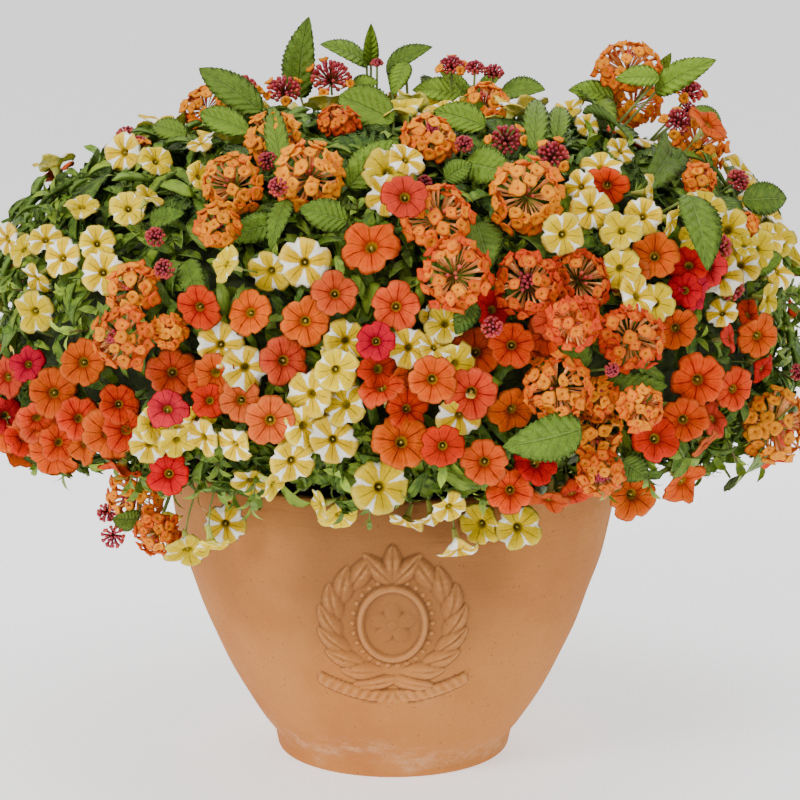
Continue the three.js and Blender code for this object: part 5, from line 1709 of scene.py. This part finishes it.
@dataclass
class Foliage:
    """Leaves, shoots, stems and a dark sheet of painted shade at the heart of both plants, in three rings of
    the mound.
    """

    planting: Planting
    seed: int = 7001
    leaves: int = 3400
    toothed: tuple = (28.0, 46.0, 0.6, 8.0, 26.0)
    smooth: tuple = (15.0, 27.0, 0.29, 3.0, 20.0)
    shoots: int = 780
    shoot_length: tuple = (30.0, 52.0)
    hanging: int = 84
    # The dark sheet of painted shade inside the mound: its inset, rows and columns.
    shade_sheet_depth: float = 31.0
    shade_sheet_rows: int = 30
    shade_sheet_columns: int = 72
    tries: int = 5
    room: float = 4.0
    checked: tuple = (0.3, 0.55, 0.8, 1.0)
    sinking: tuple = (5.0, 6.5, 6.0)
    outermost: float = 0.04

    # Toothed leaves: columns, rows and tooth, then keel, bow, droop and twist of each form.
    FORMS = (
        ("large leaf", (4, 34, 0.075), (
            (0.07, 0.06, 0.03, 0.02), (0.05, 0.05, 0.07, -0.03), (0.1, 0.04, -0.02, 0.0))),
        ("medium leaf", (3, 24, 0.075), (
            (0.09, 0.06, 0.05, 0.03), (0.06, 0.05, 0.09, -0.04), (0.12, 0.04, 0.01, 0.0))),
        ("leaf", (2, 18, 0.1), (
            (0.14, 0.06, 0.1, 0.04), (0.2, 0.03, 0.02, -0.05), (0.08, 0.05, 0.2, 0.0))),
    )

    def build(self) -> None:
        """Fills the three rings with everything green; they stay open for the stalks of flowers."""
        self.draws = Draws(self.seed)
        names = ("crown_foliage", "shoulder_foliage", "skirt_foliage")
        self.rings = [Cluster(name) for name in names]
        self.large, self.medium, self.small = (
            [LeafForm(*grid, *curve).template(f"{name} {i}", LEAF_SLOT) for i, curve in enumerate(curves)]
            for name, grid, curves in self.FORMS)
        self.spoons = [
            LeafForm(2, 6, 0.0, *curve, 0.0, (0.75, 0.5, 2.32), 0.012, 0.0).template("spoon", SHOOT_SLOT)
            for curve in ((0.12, 0.1, 0.22), (0.2, 0.03, 0.0))]
        self.twigs = [ShootForm().template(f"shoot {seed}", seed) for seed in (11, 23, 37)]
        self.stem = rolled("stem", 6, (0, 0.02, 0.25, 0.5, 0.75, 0.98, 1), stem_shape, STEM_SLOT)
        self.main_stems()
        self.planned_leaves()
        self.filling_leaves()
        self.filling_shoots()
        self.hem_shoots()
        self.heart()

    def main_stems(self) -> None:
        """The stems out of the soil, one for each spray, with two side branches."""
        for spray in SPRAYS:
            for share, rise, radius in ((0.0, 1.0, 2.5), (-0.3, 0.9, 1.7), (0.3, 0.9, 1.7)):
                azimuth = spray.azimuth + share * spray.width
                foot = Spray.fountain(spray.azimuth, spray.middle, 0) - Vector((0, 0, 20))
                end = Spray.fountain(azimuth, spray.middle, rise)
                bend = Spray.fountain(spray.azimuth + share * spray.width * 0.4, spray.middle, 0.3)
                bend.z += 18
                points = bent(self.stem, (foot, bend, end), radius)
                self.rings[spray.ring].stamp(self.stem, points, (0.8, self.draws.one(), 0.6, 0))

    def stalk(self, sprig: Sprig, end: Vector, radius: float, age: float) -> None:
        """A stalk from a spray's heart to what it carries.

        Args:
            sprig: what it carries.
            end: its upper end.
            radius: its radius.
            age: green (0) to brown (1).
        """
        spray = spray_at(sprig.place)
        start = spray.root(sprig.centre)
        middle = start.lerp(end, 0.55) + sprig.slide * 3
        if sprig.kind is not Kind.LEAF:
            middle = end - sprig.axis * (0.5 * (end - start).length)
        points = bent(self.stem, (start, middle, end), radius)
        self.rings[spray.ring].stamp(self.stem, points, (age, self.draws.one(), 0.25, 0))

    def leaf_at(self, template: Template, foot: Vector, tip: Vector, normal: Vector, breadth: float,
                tint: Sequence[float]) -> None:
        """Stamps a leaf from its foot to its tip.

        Args:
            template: the leaf's form.
            foot: where its blade starts.
            tip: where it ends.
            normal: roughly the way that its upper face looks.
            breadth: its breadth.
            tint: the numbers that its finish reads.
        """
        length = (tip - foot).length
        forward = (tip - foot).normalized()
        side = forward.cross(normal).normalized()
        points = placed(template, foot, (side, forward, side.cross(forward)), (breadth / 2, length, length))
        ring = spray_at(foot.lerp(tip, LEAF_PLACE)).ring
        self.rings[ring].stamp(template, points, tint)

    def planned_leaves(self) -> None:
        """The large leaves of the plan and of the sides, each on its petiole."""
        for i, sprig in enumerate(self.planting.of(Kind.LEAF)):
            high = min(max((sprig.tip.z - 260) / 160, 0), 1)
            fresh = self.draws.one() * 0.5 + high * 0.45
            tint = (fresh, self.draws.one(), 0.12, 0)
            forms = self.large if i < len(LARGE_LEAVES) else self.medium
            self.leaf_at(forms[i % 3], sprig.centre, sprig.tip, sprig.normal, sprig.breadth, tint)
            self.stalk(sprig, sprig.centre.lerp(sprig.tip, 0.03), 1.1, 0.2)

    def surface_place(self, i: int, count: int, turn: float) -> tuple[float, float]:
        """Azimuth and reach of one of many places spread over the mound."""
        return i * GOLDEN_TURN + turn, 0.015 + 0.975 * ((i + 0.5) / count) ** 0.74

    def filling_leaves(self) -> None:
        """Smaller leaves under and between the flowers: toothed ones high up, smooth ones lower."""
        draws, touches = self.draws, self.planting.crowd.touches
        at_foot, at_tip, deeper = self.sinking
        for i in range(self.leaves):
            azimuth, reach = self.surface_place(i, self.leaves, 0.37)
            toothed = draws.one() > 0.5 + 0.9 * reach
            shortest, longest, share, shallow, deep = self.toothed if toothed else self.smooth
            length, depth = draws.between(shortest, longest), draws.between(shallow, deep)
            point = MOUND.point(azimuth + draws.between(-0.05, 0.05), reach * MOUND.skirt_angle, depth)
            normal = MOUND.normal(point)
            right, up = across_axes(normal, draws.one() * TURN)
            forward = (right + normal * draws.between(-0.1, 0.85) - Vector((0, 0, 0.25))).normalized()
            face = (normal + up * draws.between(-0.5, 0.5) + Vector((0, 0, 0.35))).normalized()
            foot, tip = point - forward * length * 0.5, point + forward * length * 0.5
            for _ in range(self.tries):
                if not any(touches(foot.lerp(tip, at), self.room) for at in self.checked):
                    break
                foot, tip, depth = foot - normal * at_foot, tip - normal * at_tip, depth + deeper
            if MOUND.level(tip) > self.outermost:
                continue
            shade = min(max((depth - 4) / 30, 0), 1)
            tint = (draws.one() ** 2 * 0.8, draws.one(), 0.1 + 0.85 * shade, 0)
            form = self.small[i % 3] if toothed else self.spoons[i % 2]
            self.leaf_at(form, foot, tip, face, length * share * draws.between(0.85, 1.1), tint)

    def filling_shoots(self) -> None:
        """Calibrachoa shoots between the leaves, more of them low on the mound."""
        draws, touches = self.draws, self.planting.crowd.touches
        for i in range(self.shoots):
            azimuth, reach = self.surface_place(i, self.shoots, 1.9)
            if draws.one() > 0.35 + 0.75 * reach:
                continue
            length = draws.between(*self.shoot_length)
            point = MOUND.point(azimuth, reach * MOUND.skirt_angle, draws.between(2, 9))
            normal = MOUND.normal(point)
            right, _ = across_axes(normal, draws.one() * TURN)
            axis = (normal + right * draws.between(0, 0.7)).normalized()
            for _ in range(4):
                crowded = any(touches(point - axis * (length * at), 6) for at in (-0.2, 0, 0.3))
                if not crowded:
                    break
                point = point - normal * 5
            if crowded:
                continue
            self.rings[spray_at(point).ring].place(
                self.twigs[i % 3], point - axis * length, axis, draws.one() * TURN, (length,) * 3,
                (0.15 + 0.85 * draws.one(), draws.one(), 0.2 * draws.one(), 0))

    def hem_shoots(self) -> None:
        """Shoots that hang over the rim of the pot, below the lowest flowers."""
        draws = self.draws
        for i in range(self.hanging):
            azimuth = (i + draws.between(-0.4, 0.4)) * TURN / self.hanging
            length = draws.between(*self.shoot_length)
            point = MOUND.point(azimuth, draws.between(0.88, 1.0) * MOUND.skirt_angle, draws.between(0, 16))
            outward = MOUND.normal(point) * draws.between(0.3, 0.8)
            axis = (outward - Vector((0, 0, draws.between(0.3, 1)))).normalized()
            tip = point + axis * (0.2 * length)
            if self.planting.crowd.touches(tip, 4):
                continue
            self.rings[-1].place(
                self.twigs[i % 3], tip - axis * length, axis, draws.one() * TURN, (length,) * 3,
                (0.2 + 0.6 * draws.one(), draws.one(), 0.2, 0))

    def heart(self) -> None:
        """A dark sheet of painted shade at the heart of the plants, which the leaves cover."""
        stations = [i / self.shade_sheet_rows for i in range(self.shade_sheet_rows + 1)]
        template = rolled("heart", self.shade_sheet_columns, stations, self.shade_sheet_shape, SHADE_SHEET_SLOT)
        self.rings[1].stamp(template, template.points, (0, 0.5, 1, 0))

    def shade_sheet_shape(self, turn: np.ndarray, along: np.ndarray) -> np.ndarray:
        """Points of the shade sheet: the mound, inset and roughened."""
        points = []
        for t, a in zip(turn, along):
            bumps = 3.5 * math.sin(TURN * t * 17 + 9 * a)
            bumps += 3.5 * math.sin(a * 43 + 5 * math.sin(TURN * t * 3))
            shallow = max(math.sin(math.pi * a), 0.0)
            points.append(tuple(MOUND.point(TURN * t, a * math.pi, self.shade_sheet_depth + bumps * shallow)))
        return np.array(points)

    def finish(self) -> None:
        """Makes the three rings pieces of the scene."""
        finishes = [LANTANA_BLADE.build(), SHOOT_BLADE.build(), Bark().build(), LeafShade().build()]
        for ring, cluster in enumerate(self.rings):
            nodes = [spray.name for spray in SPRAYS if spray.ring == ring]
            cluster.finish(finishes, "foliage", nodes)


# ---- flowers


@dataclass(frozen=True)
class BloomForm:
    """A calibrachoa trumpet in units of its limb's radius, limb at z = 0 and tube below."""

    columns: int
    seed: int
    fine: bool = True
    notch: float = 0.2
    dimple: float = 0.025
    cupping: float = 0.07
    wave: float = 0.12
    bend: float = 0.16

    PLAIN_PISTIL = (0.12, 0.0, -0.36)
    PISTIL = ((0.0, 0.0, -0.15), (0.04, 0.045, -0.19), (0.1, 0.035, -0.44), (0.15, 0.06, -0.46))
    LIMB = ((THROAT, 0.11, -0.42), (0.27, 0.155, -0.24), (0.34, 0.27, -0.1), (0.43, 0.58, -0.01),
            (0.52, 0.85, 0.0), (EDGE, 1.0, -0.05), (0.66, 0.74, -0.05), (0.74, 0.42, -0.13),
            (0.8, 0.25, -0.3), (NECK, 0.17, -0.5), (0.92, 0.12, -0.82), (0.97, 0.1, -1.08), (1.0, 0.0, -1.1))

    def template(self, name: str) -> Template:
        """The bloom's closed mesh."""
        rows = (*self.PISTIL, *self.LIMB) if self.fine else (self.PLAIN_PISTIL, *self.LIMB)
        draws = Draws(self.seed)
        waves = [(draws.between(0.5, 1.2), draws.one() * TURN) for _ in range(3)]
        sizes = draws.many(LOBES, -0.09, 0.05)
        bends = draws.many(LOBES, -self.bend, 0.5 * self.bend)

        def shape(turn: np.ndarray, along: np.ndarray) -> np.ndarray:
            """Points from the turn around the bloom and the station along its profile."""
            radius, level = profile(rows, along)
            phase = (turn * LOBES) % 1
            off = np.abs(2 * phase - 1)
            lobe, rise = np.floor(turn * LOBES + 1e-6).astype(int) % LOBES, 1 - off ** 2
            limb = np.clip((radius - 0.2) / 0.8, 0, 1) * (along > THROAT - 0.01) * (along < NECK)
            swell = sizes[lobe] * rise - self.notch * off ** 4 - self.dimple * (1 - off) ** 4
            reach = radius * (1 + limb ** 2 * swell)
            level = level - limb ** 2 * self.cupping * off ** 2 + limb * (1 - limb) * 0.1 * (1 - off)
            level = level + limb ** 2 * bends[lobe] * rise + 0.05 * limb * np.sin(TURN * phase)
            for count, (strength, shift) in enumerate(waves, start=2):
                level = level + self.wave * strength * limb ** 2 * np.sin(TURN * turn * count + shift)
            return round_points(turn, reach, level)

        return rolled(name, self.columns, [row[0] for row in rows], shape)


@dataclass
class Blooms:
    """The calibrachoa blooms of one colour."""

    kind: Kind
    finish: Petal
    planting: Planting
    foliage: Foliage
    seed: int
    swell: float
    pedicel: float = 0.7
    nod: float = 0.34

    def build(self) -> None:
        """Stamps every bloom of this colour and its pedicel."""
        draws, colour = Draws(self.seed), self.kind.value
        fine = [BloomForm(30, seed).template(f"{colour} bloom") for seed in (3, 14, 25, 58, 69)]
        plain = [BloomForm(20, seed, False).template(f"plain {colour} bloom") for seed in (36, 47)]
        cluster = Cluster(f"{colour}_blooms")
        for sprig in self.planting.of(self.kind):
            forms = plain if sprig.extra else fine
            form = forms[int(draws.one() * len(forms)) % len(forms)]
            axis = (sprig.axis + draws.wobble(self.nod)).normalized()
            radius = sprig.radius * self.swell
            sizes = (radius * draws.between(0.95, 1.05), radius, radius)
            tint = (draws.one(), draws.one(), 0.1 * draws.one(), draws.one() ** 2)
            cluster.place(form, sprig.centre, axis, sprig.spin, sizes, tint)
            end = sprig.centre - axis * sprig.radius * 0.95
            self.foliage.stalk(sprig, end, self.pedicel, 0.0)
        cluster.finish([self.finish.build()], f"petal_{colour}")


@dataclass(frozen=True)
class FloretForm:
    """A four-lobed floret: its limb in units of its radius, its tube from z = -1 to -2."""

    columns: int
    seed: int

    LOBES = 4
    NOTCH = 0.42
    ROWS = ((0.0, 0.0, -0.34), (0.12, 0.18, -0.22), (0.3, 0.62, 0.12), (0.5, 1.0, 0.02), (0.62, 0.6, -0.18),
            (0.74, 0.2, -0.46), (0.82, 0.17, -1.0), (1.0, 0.0, -2.0))

    def template(self, name: str) -> Template:
        """The floret's closed mesh."""
        draws = Draws(self.seed)
        sizes = draws.many(self.LOBES, -0.16, 0.06)
        curls = draws.many(self.LOBES, -0.22, 0.26)
        crinkles = draws.many(self.columns, -0.09, 0.09)

        def shape(turn: np.ndarray, along: np.ndarray) -> np.ndarray:
            """Points from the turn around the floret and the station along its profile."""
            radius, level = profile(self.ROWS, along)
            phase = turn * self.LOBES + 1 / 6
            off = np.abs(2 * (phase % 1) - 1)
            lobe = np.floor(phase).astype(int) % self.LOBES
            limb = np.clip((radius - 0.15) / 0.85, 0, 1) * (along > 0.05) * (along < 0.7)
            crinkle = crinkles[np.round(turn * self.columns).astype(int) % self.columns]
            reach = radius * (1 + limb * (sizes[lobe] * (1 - off ** 2) - self.NOTCH * off ** 3 + crinkle))
            level = level + limb * (curls[lobe] * (1 - off ** 2) - 0.16 * off ** 2 + crinkle)
            return round_points(turn, reach, level)

        return rolled(name, self.columns, [row[0] for row in self.ROWS], shape)


# A closed bud: station, radius and level.
BUD_ROWS = ((0.0, 0.0, 0.0), (0.2, 0.42, -0.06), (0.45, 0.5, -0.26), (0.7, 0.2, -0.52), (0.97, 0.14, -2.0),
            (1.0, 0.0, -2.0))


def bud_shape(turn: np.ndarray, along: np.ndarray) -> np.ndarray:
    """A closed bud: a squarish head on a narrow tube, its top at z = 0."""
    radius, level = profile(BUD_ROWS, along)
    return round_points(turn, radius * (1 + 0.1 * np.cos(4 * TURN * turn)), level)


@dataclass
class Umbels:
    """Lantana flower heads: florets on long tubes around a small green hub, young buds on top."""

    planting: Planting
    foliage: Foliage
    seed: int = 4203
    full_radius: float = 20.0
    rings: tuple = ((91, 18), (71, 15), (49, 9), (24, 3))
    limb: float = 4.9
    bud: float = 1.5
    hub: float = 0.2
    budding: float = 0.4

    def build(self) -> None:
        """Stamps every head of the front, in two pieces, then of the sides and the back."""
        self.draws = Draws(self.seed)
        self.fine = [FloretForm(12, seed).template(f"floret {seed}") for seed in (5, 16, 27)]
        self.plain = [FloretForm(8, seed).template(f"floret {seed}") for seed in (38, 49)]
        self.small_bud = rolled("young bud", 5, [row[0] for row in BUD_ROWS], bud_shape, 1)
        planned = self.planting.of(Kind.UMBEL)
        half, front = len(UMBELS) // 2, len(UMBELS)
        finishes = [FloretFinish().build(), BudFinish().build()]
        packed = self.packed_heads(planned)
        for name, start, end in (("lantana_umbels_left", 0, half), ("lantana_umbels_right", half, front),
                                 ("lantana_umbels_round", front, len(planned))):
            cluster = Cluster(name)
            replaced = [node for node, head in packed.items() if start <= head < end]
            for i in range(start, end):
                ripeness = UMBEL_AGES[i] if i < front else self.draws.one()
                self.head(cluster, planned[i], self.fine if i < front else self.plain, ripeness)
            cluster.finish(finishes, "umbel", replaced)

    def packed_heads(self, heads: Sequence[Sprig]) -> dict[str, int]:
        """Which head stands where each umbel of the frame does, by the nearest centre."""
        matched = {}
        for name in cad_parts:
            if name.startswith("umbel_"):
                low, high = (Vector(corner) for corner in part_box(name))
                middle = (low + high) / (2 * MM)
                matched[name] = min(range(len(heads)), key=lambda i: (heads[i].centre - middle).length)
        return matched

    def head(self, cluster: Cluster, sprig: Sprig, forms: Sequence[Template], ripeness: float) -> None:
        """One umbel: rings of florets, the outer ones older, and young buds in the middle.

        Args:
            cluster: where it goes.
            sprig: its place and size.
            forms: the florets' templates.
            ripeness: how far it has aged, from 0 to 1.
        """
        draws = self.draws
        size = sprig.radius / self.full_radius
        hub = sprig.centre - sprig.axis * (self.hub * sprig.radius)
        light = draws.one()
        for ring, (polar, full) in enumerate(self.rings):
            count = max(round(full * (0.3 + 0.7 * size) * (0.86 + 0.3 * ripeness)), 3)
            for i in range(count):
                turn = 360 * (i + draws.between(-0.3, 0.3)) / count + 17 * ring
                lean = polar + draws.between(-14, 14)
                limb = self.limb * (0.72 + 0.28 * size) * (1.04 - 0.16 * ripeness) * draws.between(0.84, 1.12)
                point = on_dome(sprig, lean, turn, sprig.radius * draws.between(0.77, 1.05))
                age = ripeness + 0.14 - 0.17 * ring + draws.between(-0.2, 0.2)
                form = forms[int(draws.one() * len(forms))]
                look = (age, 0.5 * light + 0.5 * draws.one())
                self.floret(cluster, form, hub, point, sprig.axis, limb, look)
        buds, ripe = (14, 0.4) if draws.one() < self.budding else (4, 0.8)
        for i in range(buds):
            reach = sprig.radius * draws.between(0.72, 0.86)
            point = on_dome(sprig, 22 * math.sqrt(i / buds), i * 137.5, reach)
            self.bud_at(cluster, hub, point, self.bud * draws.between(0.7, 1.1), ripe + 0.25 * draws.one())

    def floret(self, cluster: Cluster, form: Template, hub: Vector, point: Vector, axis: Vector, limb: float,
               look: Sequence[float]) -> None:
        """One floret from the hub to its limb.

        Args:
            cluster: where it goes.
            form: its template.
            hub: where its tube starts.
            point: its limb's middle.
            axis: the head's axis, towards which the limb tips.
            limb: the limb's radius.
            look: its age and light.
        """
        draws = self.draws
        tube = point - hub
        out = (tube.normalized() + axis * 0.25 + draws.wobble(0.3)).normalized()
        right, up = across_axes(out, draws.one() * TURN)
        shape = form.points.copy()
        depth = np.clip(-shape[:, 2] - 1, 0, 1)
        shape[:, 2] = np.maximum(shape[:, 2], -1)
        rows = np.array([tuple(right), tuple(up), tuple(out)]) * limb
        base = np.array(tuple(point))
        points = shape @ rows + base
        start = base - np.array(tuple(out)) * limb
        points = points + depth[:, None] * (np.array(tuple(hub)) - start)
        age, light = look
        # No finish reads the fourth number. Its draw keeps the later ones in their order.
        cluster.stamp(form, points, (min(max(age, 0), 1), light, 0.1, draws.one()))

    def bud_at(self, cluster: Cluster, hub: Vector, point: Vector, radius: float, ripe: float) -> None:
        """One closed bud from the hub to its tip."""
        out = (point - hub).normalized()
        sizes = (radius * 1.7, radius * 1.7, (point - hub).length / 2)
        cluster.place(self.small_bud, point, out, self.draws.one() * TURN, sizes,
                      (ripe, self.draws.one(), 0, 0))

    def stalks(self) -> None:
        """The stalk under each umbel."""
        for sprig in self.planting.of(Kind.UMBEL):
            self.foliage.stalk(sprig, sprig.centre - sprig.axis * (0.1 * sprig.radius), 1.3, 0.1)


@dataclass
class BudHeads:
    """Closed lantana heads: small domes packed with crimson buds."""

    planting: Planting
    foliage: Foliage
    seed: int = 515
    rings: tuple = ((0, 1), (24, 6), (46, 10), (68, 12), (90, 13))
    full_radius: float = 10.0
    bud: float = 1.9
    opened: int = 4
    opened_radius: float = 8.5
    opened_limb: float = 3.8

    def build(self) -> None:
        """Stamps every bud head and its stalk."""
        draws = Draws(self.seed)
        bud = rolled("bud", 5, [row[0] for row in BUD_ROWS], bud_shape, 0)
        floret = FloretForm(12, 60).template("opened floret")
        for polygon in floret.mesh.polygons:
            polygon.material_index = 1
        cluster = Cluster("lantana_bud_heads")
        for sprig in self.planting.of(Kind.BUD):
            size = min(sprig.radius / self.full_radius, 1.2)
            hub = sprig.centre - sprig.axis * (0.35 * sprig.radius)
            for ring, (polar, full) in enumerate(self.rings):
                count = max(round(full * (0.45 + 0.55 * size)), 1 if ring == 0 else 4)
                for i in range(count):
                    turn = 360 * (i + draws.between(-0.2, 0.2)) / count + 20 * ring
                    lean = polar + draws.between(-6, 6)
                    point = on_dome(sprig, lean, turn, sprig.radius * draws.between(0.88, 1))
                    out, spin = (point - hub).normalized(), draws.one() * TURN
                    wide = self.bud * 1.5 * (0.6 + 0.4 * size) * (0.7 + 0.08 * ring)
                    ripe = 0.16 + 0.16 * ring + draws.between(-0.12, 0.26)
                    cluster.place(bud, point, out, spin, (wide, wide, (point - hub).length / 2),
                                  (ripe, draws.one(), 0.05, 0))
            if sprig.radius > self.opened_radius:
                self.open_some(cluster, floret, sprig, hub, draws)
            self.foliage.stalk(sprig, sprig.centre - sprig.axis * (0.2 * sprig.radius), 1.0, 0.1)
        cluster.finish([BudFinish().build(), FloretFinish().build()], "bud")

    def open_some(self, cluster: Cluster, floret: Template, sprig: Sprig, hub: Vector, draws: Draws) -> None:
        """The first open florets, at the edge of a large bud head.

        Args:
            cluster: where they go.
            floret: their template.
            sprig: the head.
            hub: where its tubes start.
            draws: the head's numbers.
        """
        for i in range(self.opened):
            turn = 360 * (i + draws.between(-0.35, 0.35)) / self.opened
            lean = 84 + draws.between(-12, 12)
            point = on_dome(sprig, lean, turn, sprig.radius * draws.between(1.02, 1.16))
            out = ((point - hub).normalized() + sprig.axis * 0.6).normalized()
            sizes = (self.opened_limb, self.opened_limb, (point - hub).length / 2)
            cluster.place(floret, point, out, draws.one() * TURN, sizes,
                          (0.2 * draws.one(), draws.one(), 0.05, 0))


# ---- studio


@dataclass
class Studio:
    """A pale floor, soft lights, a bright surround and the camera (metres)."""

    lens: float = 108.0
    floor_size: float = 60.0
    surround: float = 0.62
    lights: tuple = (
        ("key", (-1.5, -1.6, 1.5), 0.8, 42.0),
        ("fill", (1.7, -1.5, 0.9), 1.6, 7.0),
        ("top", (0.1, -0.2, 2.1), 1.3, 20.0),
        ("back", (0.4, 1.9, 1.3), 1.6, 20.0),
    )
    target: tuple = (0.0, 0.0, 0.24)

    def build(self) -> None:
        """Sets the studio up around the piece."""
        self.floor()
        for name, place, size, power in self.lights:
            self.light(name, Vector(place), size, power)
        world = bpy.data.worlds.new("white surround")
        bpy.context.scene.world = world
        world.use_nodes = True
        backdrop = world.node_tree.nodes["Background"]
        backdrop.inputs[0].default_value = (1, 1, 1, 1)
        backdrop.inputs[1].default_value = self.surround
        self.camera()

    def floor(self) -> None:
        """The plain floor."""
        bm = bmesh.new()
        bmesh.ops.create_grid(bm, x_segments=1, y_segments=1, size=self.floor_size / 2)
        mesh = mesh_of("studio_floor", bm)
        mesh.materials.append(Floor().build())
        linked("studio_floor", mesh)

    def light(self, name: str, place: Vector, size: float, power: float) -> None:
        """A square soft light that looks at the plant."""
        lamp = bpy.data.lights.new(name, "AREA")
        lamp.size = size
        lamp.energy = power
        light = linked(name, lamp)
        light.location = place
        light.rotation_euler = (Vector(self.target) - place).to_track_quat("-Z", "Y").to_euler()

    def camera(self) -> None:
        """The camera at the planting plan's eye."""
        lens = bpy.data.cameras.new("camera")
        lens.lens = self.lens
        lens.sensor_width = 36.0
        camera = linked("camera", lens)
        camera.location = EYE * MM
        camera.rotation_euler = (math.pi / 2 - EYE_PITCH, 0, 0)
        bpy.context.scene.camera = camera


def main() -> None:
    """Builds every piece in order."""
    logging.basicConfig(level=logging.INFO, format="%(message)s")
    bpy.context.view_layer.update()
    Studio().build()
    pot = Pot()
    pot.build()
    Soil().build()
    planting = Planting(pot.radius)
    LOG.info("planting: %d pieces placed", len(planting.sprigs))
    foliage = Foliage(planting)
    foliage.build()
    for kind, petal, seed, swell in ((Kind.YELLOW, YELLOW_PETAL, 901, 1.15),
                                     (Kind.ORANGE, ORANGE_PETAL, 902, 1.1), (Kind.RED, RED_PETAL, 903, 1.16)):
        Blooms(kind, petal, planting, foliage, seed, swell).build()
    umbels = Umbels(planting, foliage)
    umbels.build()
    umbels.stalks()
    BudHeads(planting, foliage).build()
    foliage.finish()
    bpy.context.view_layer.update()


if __name__ == "__main__":
    main()
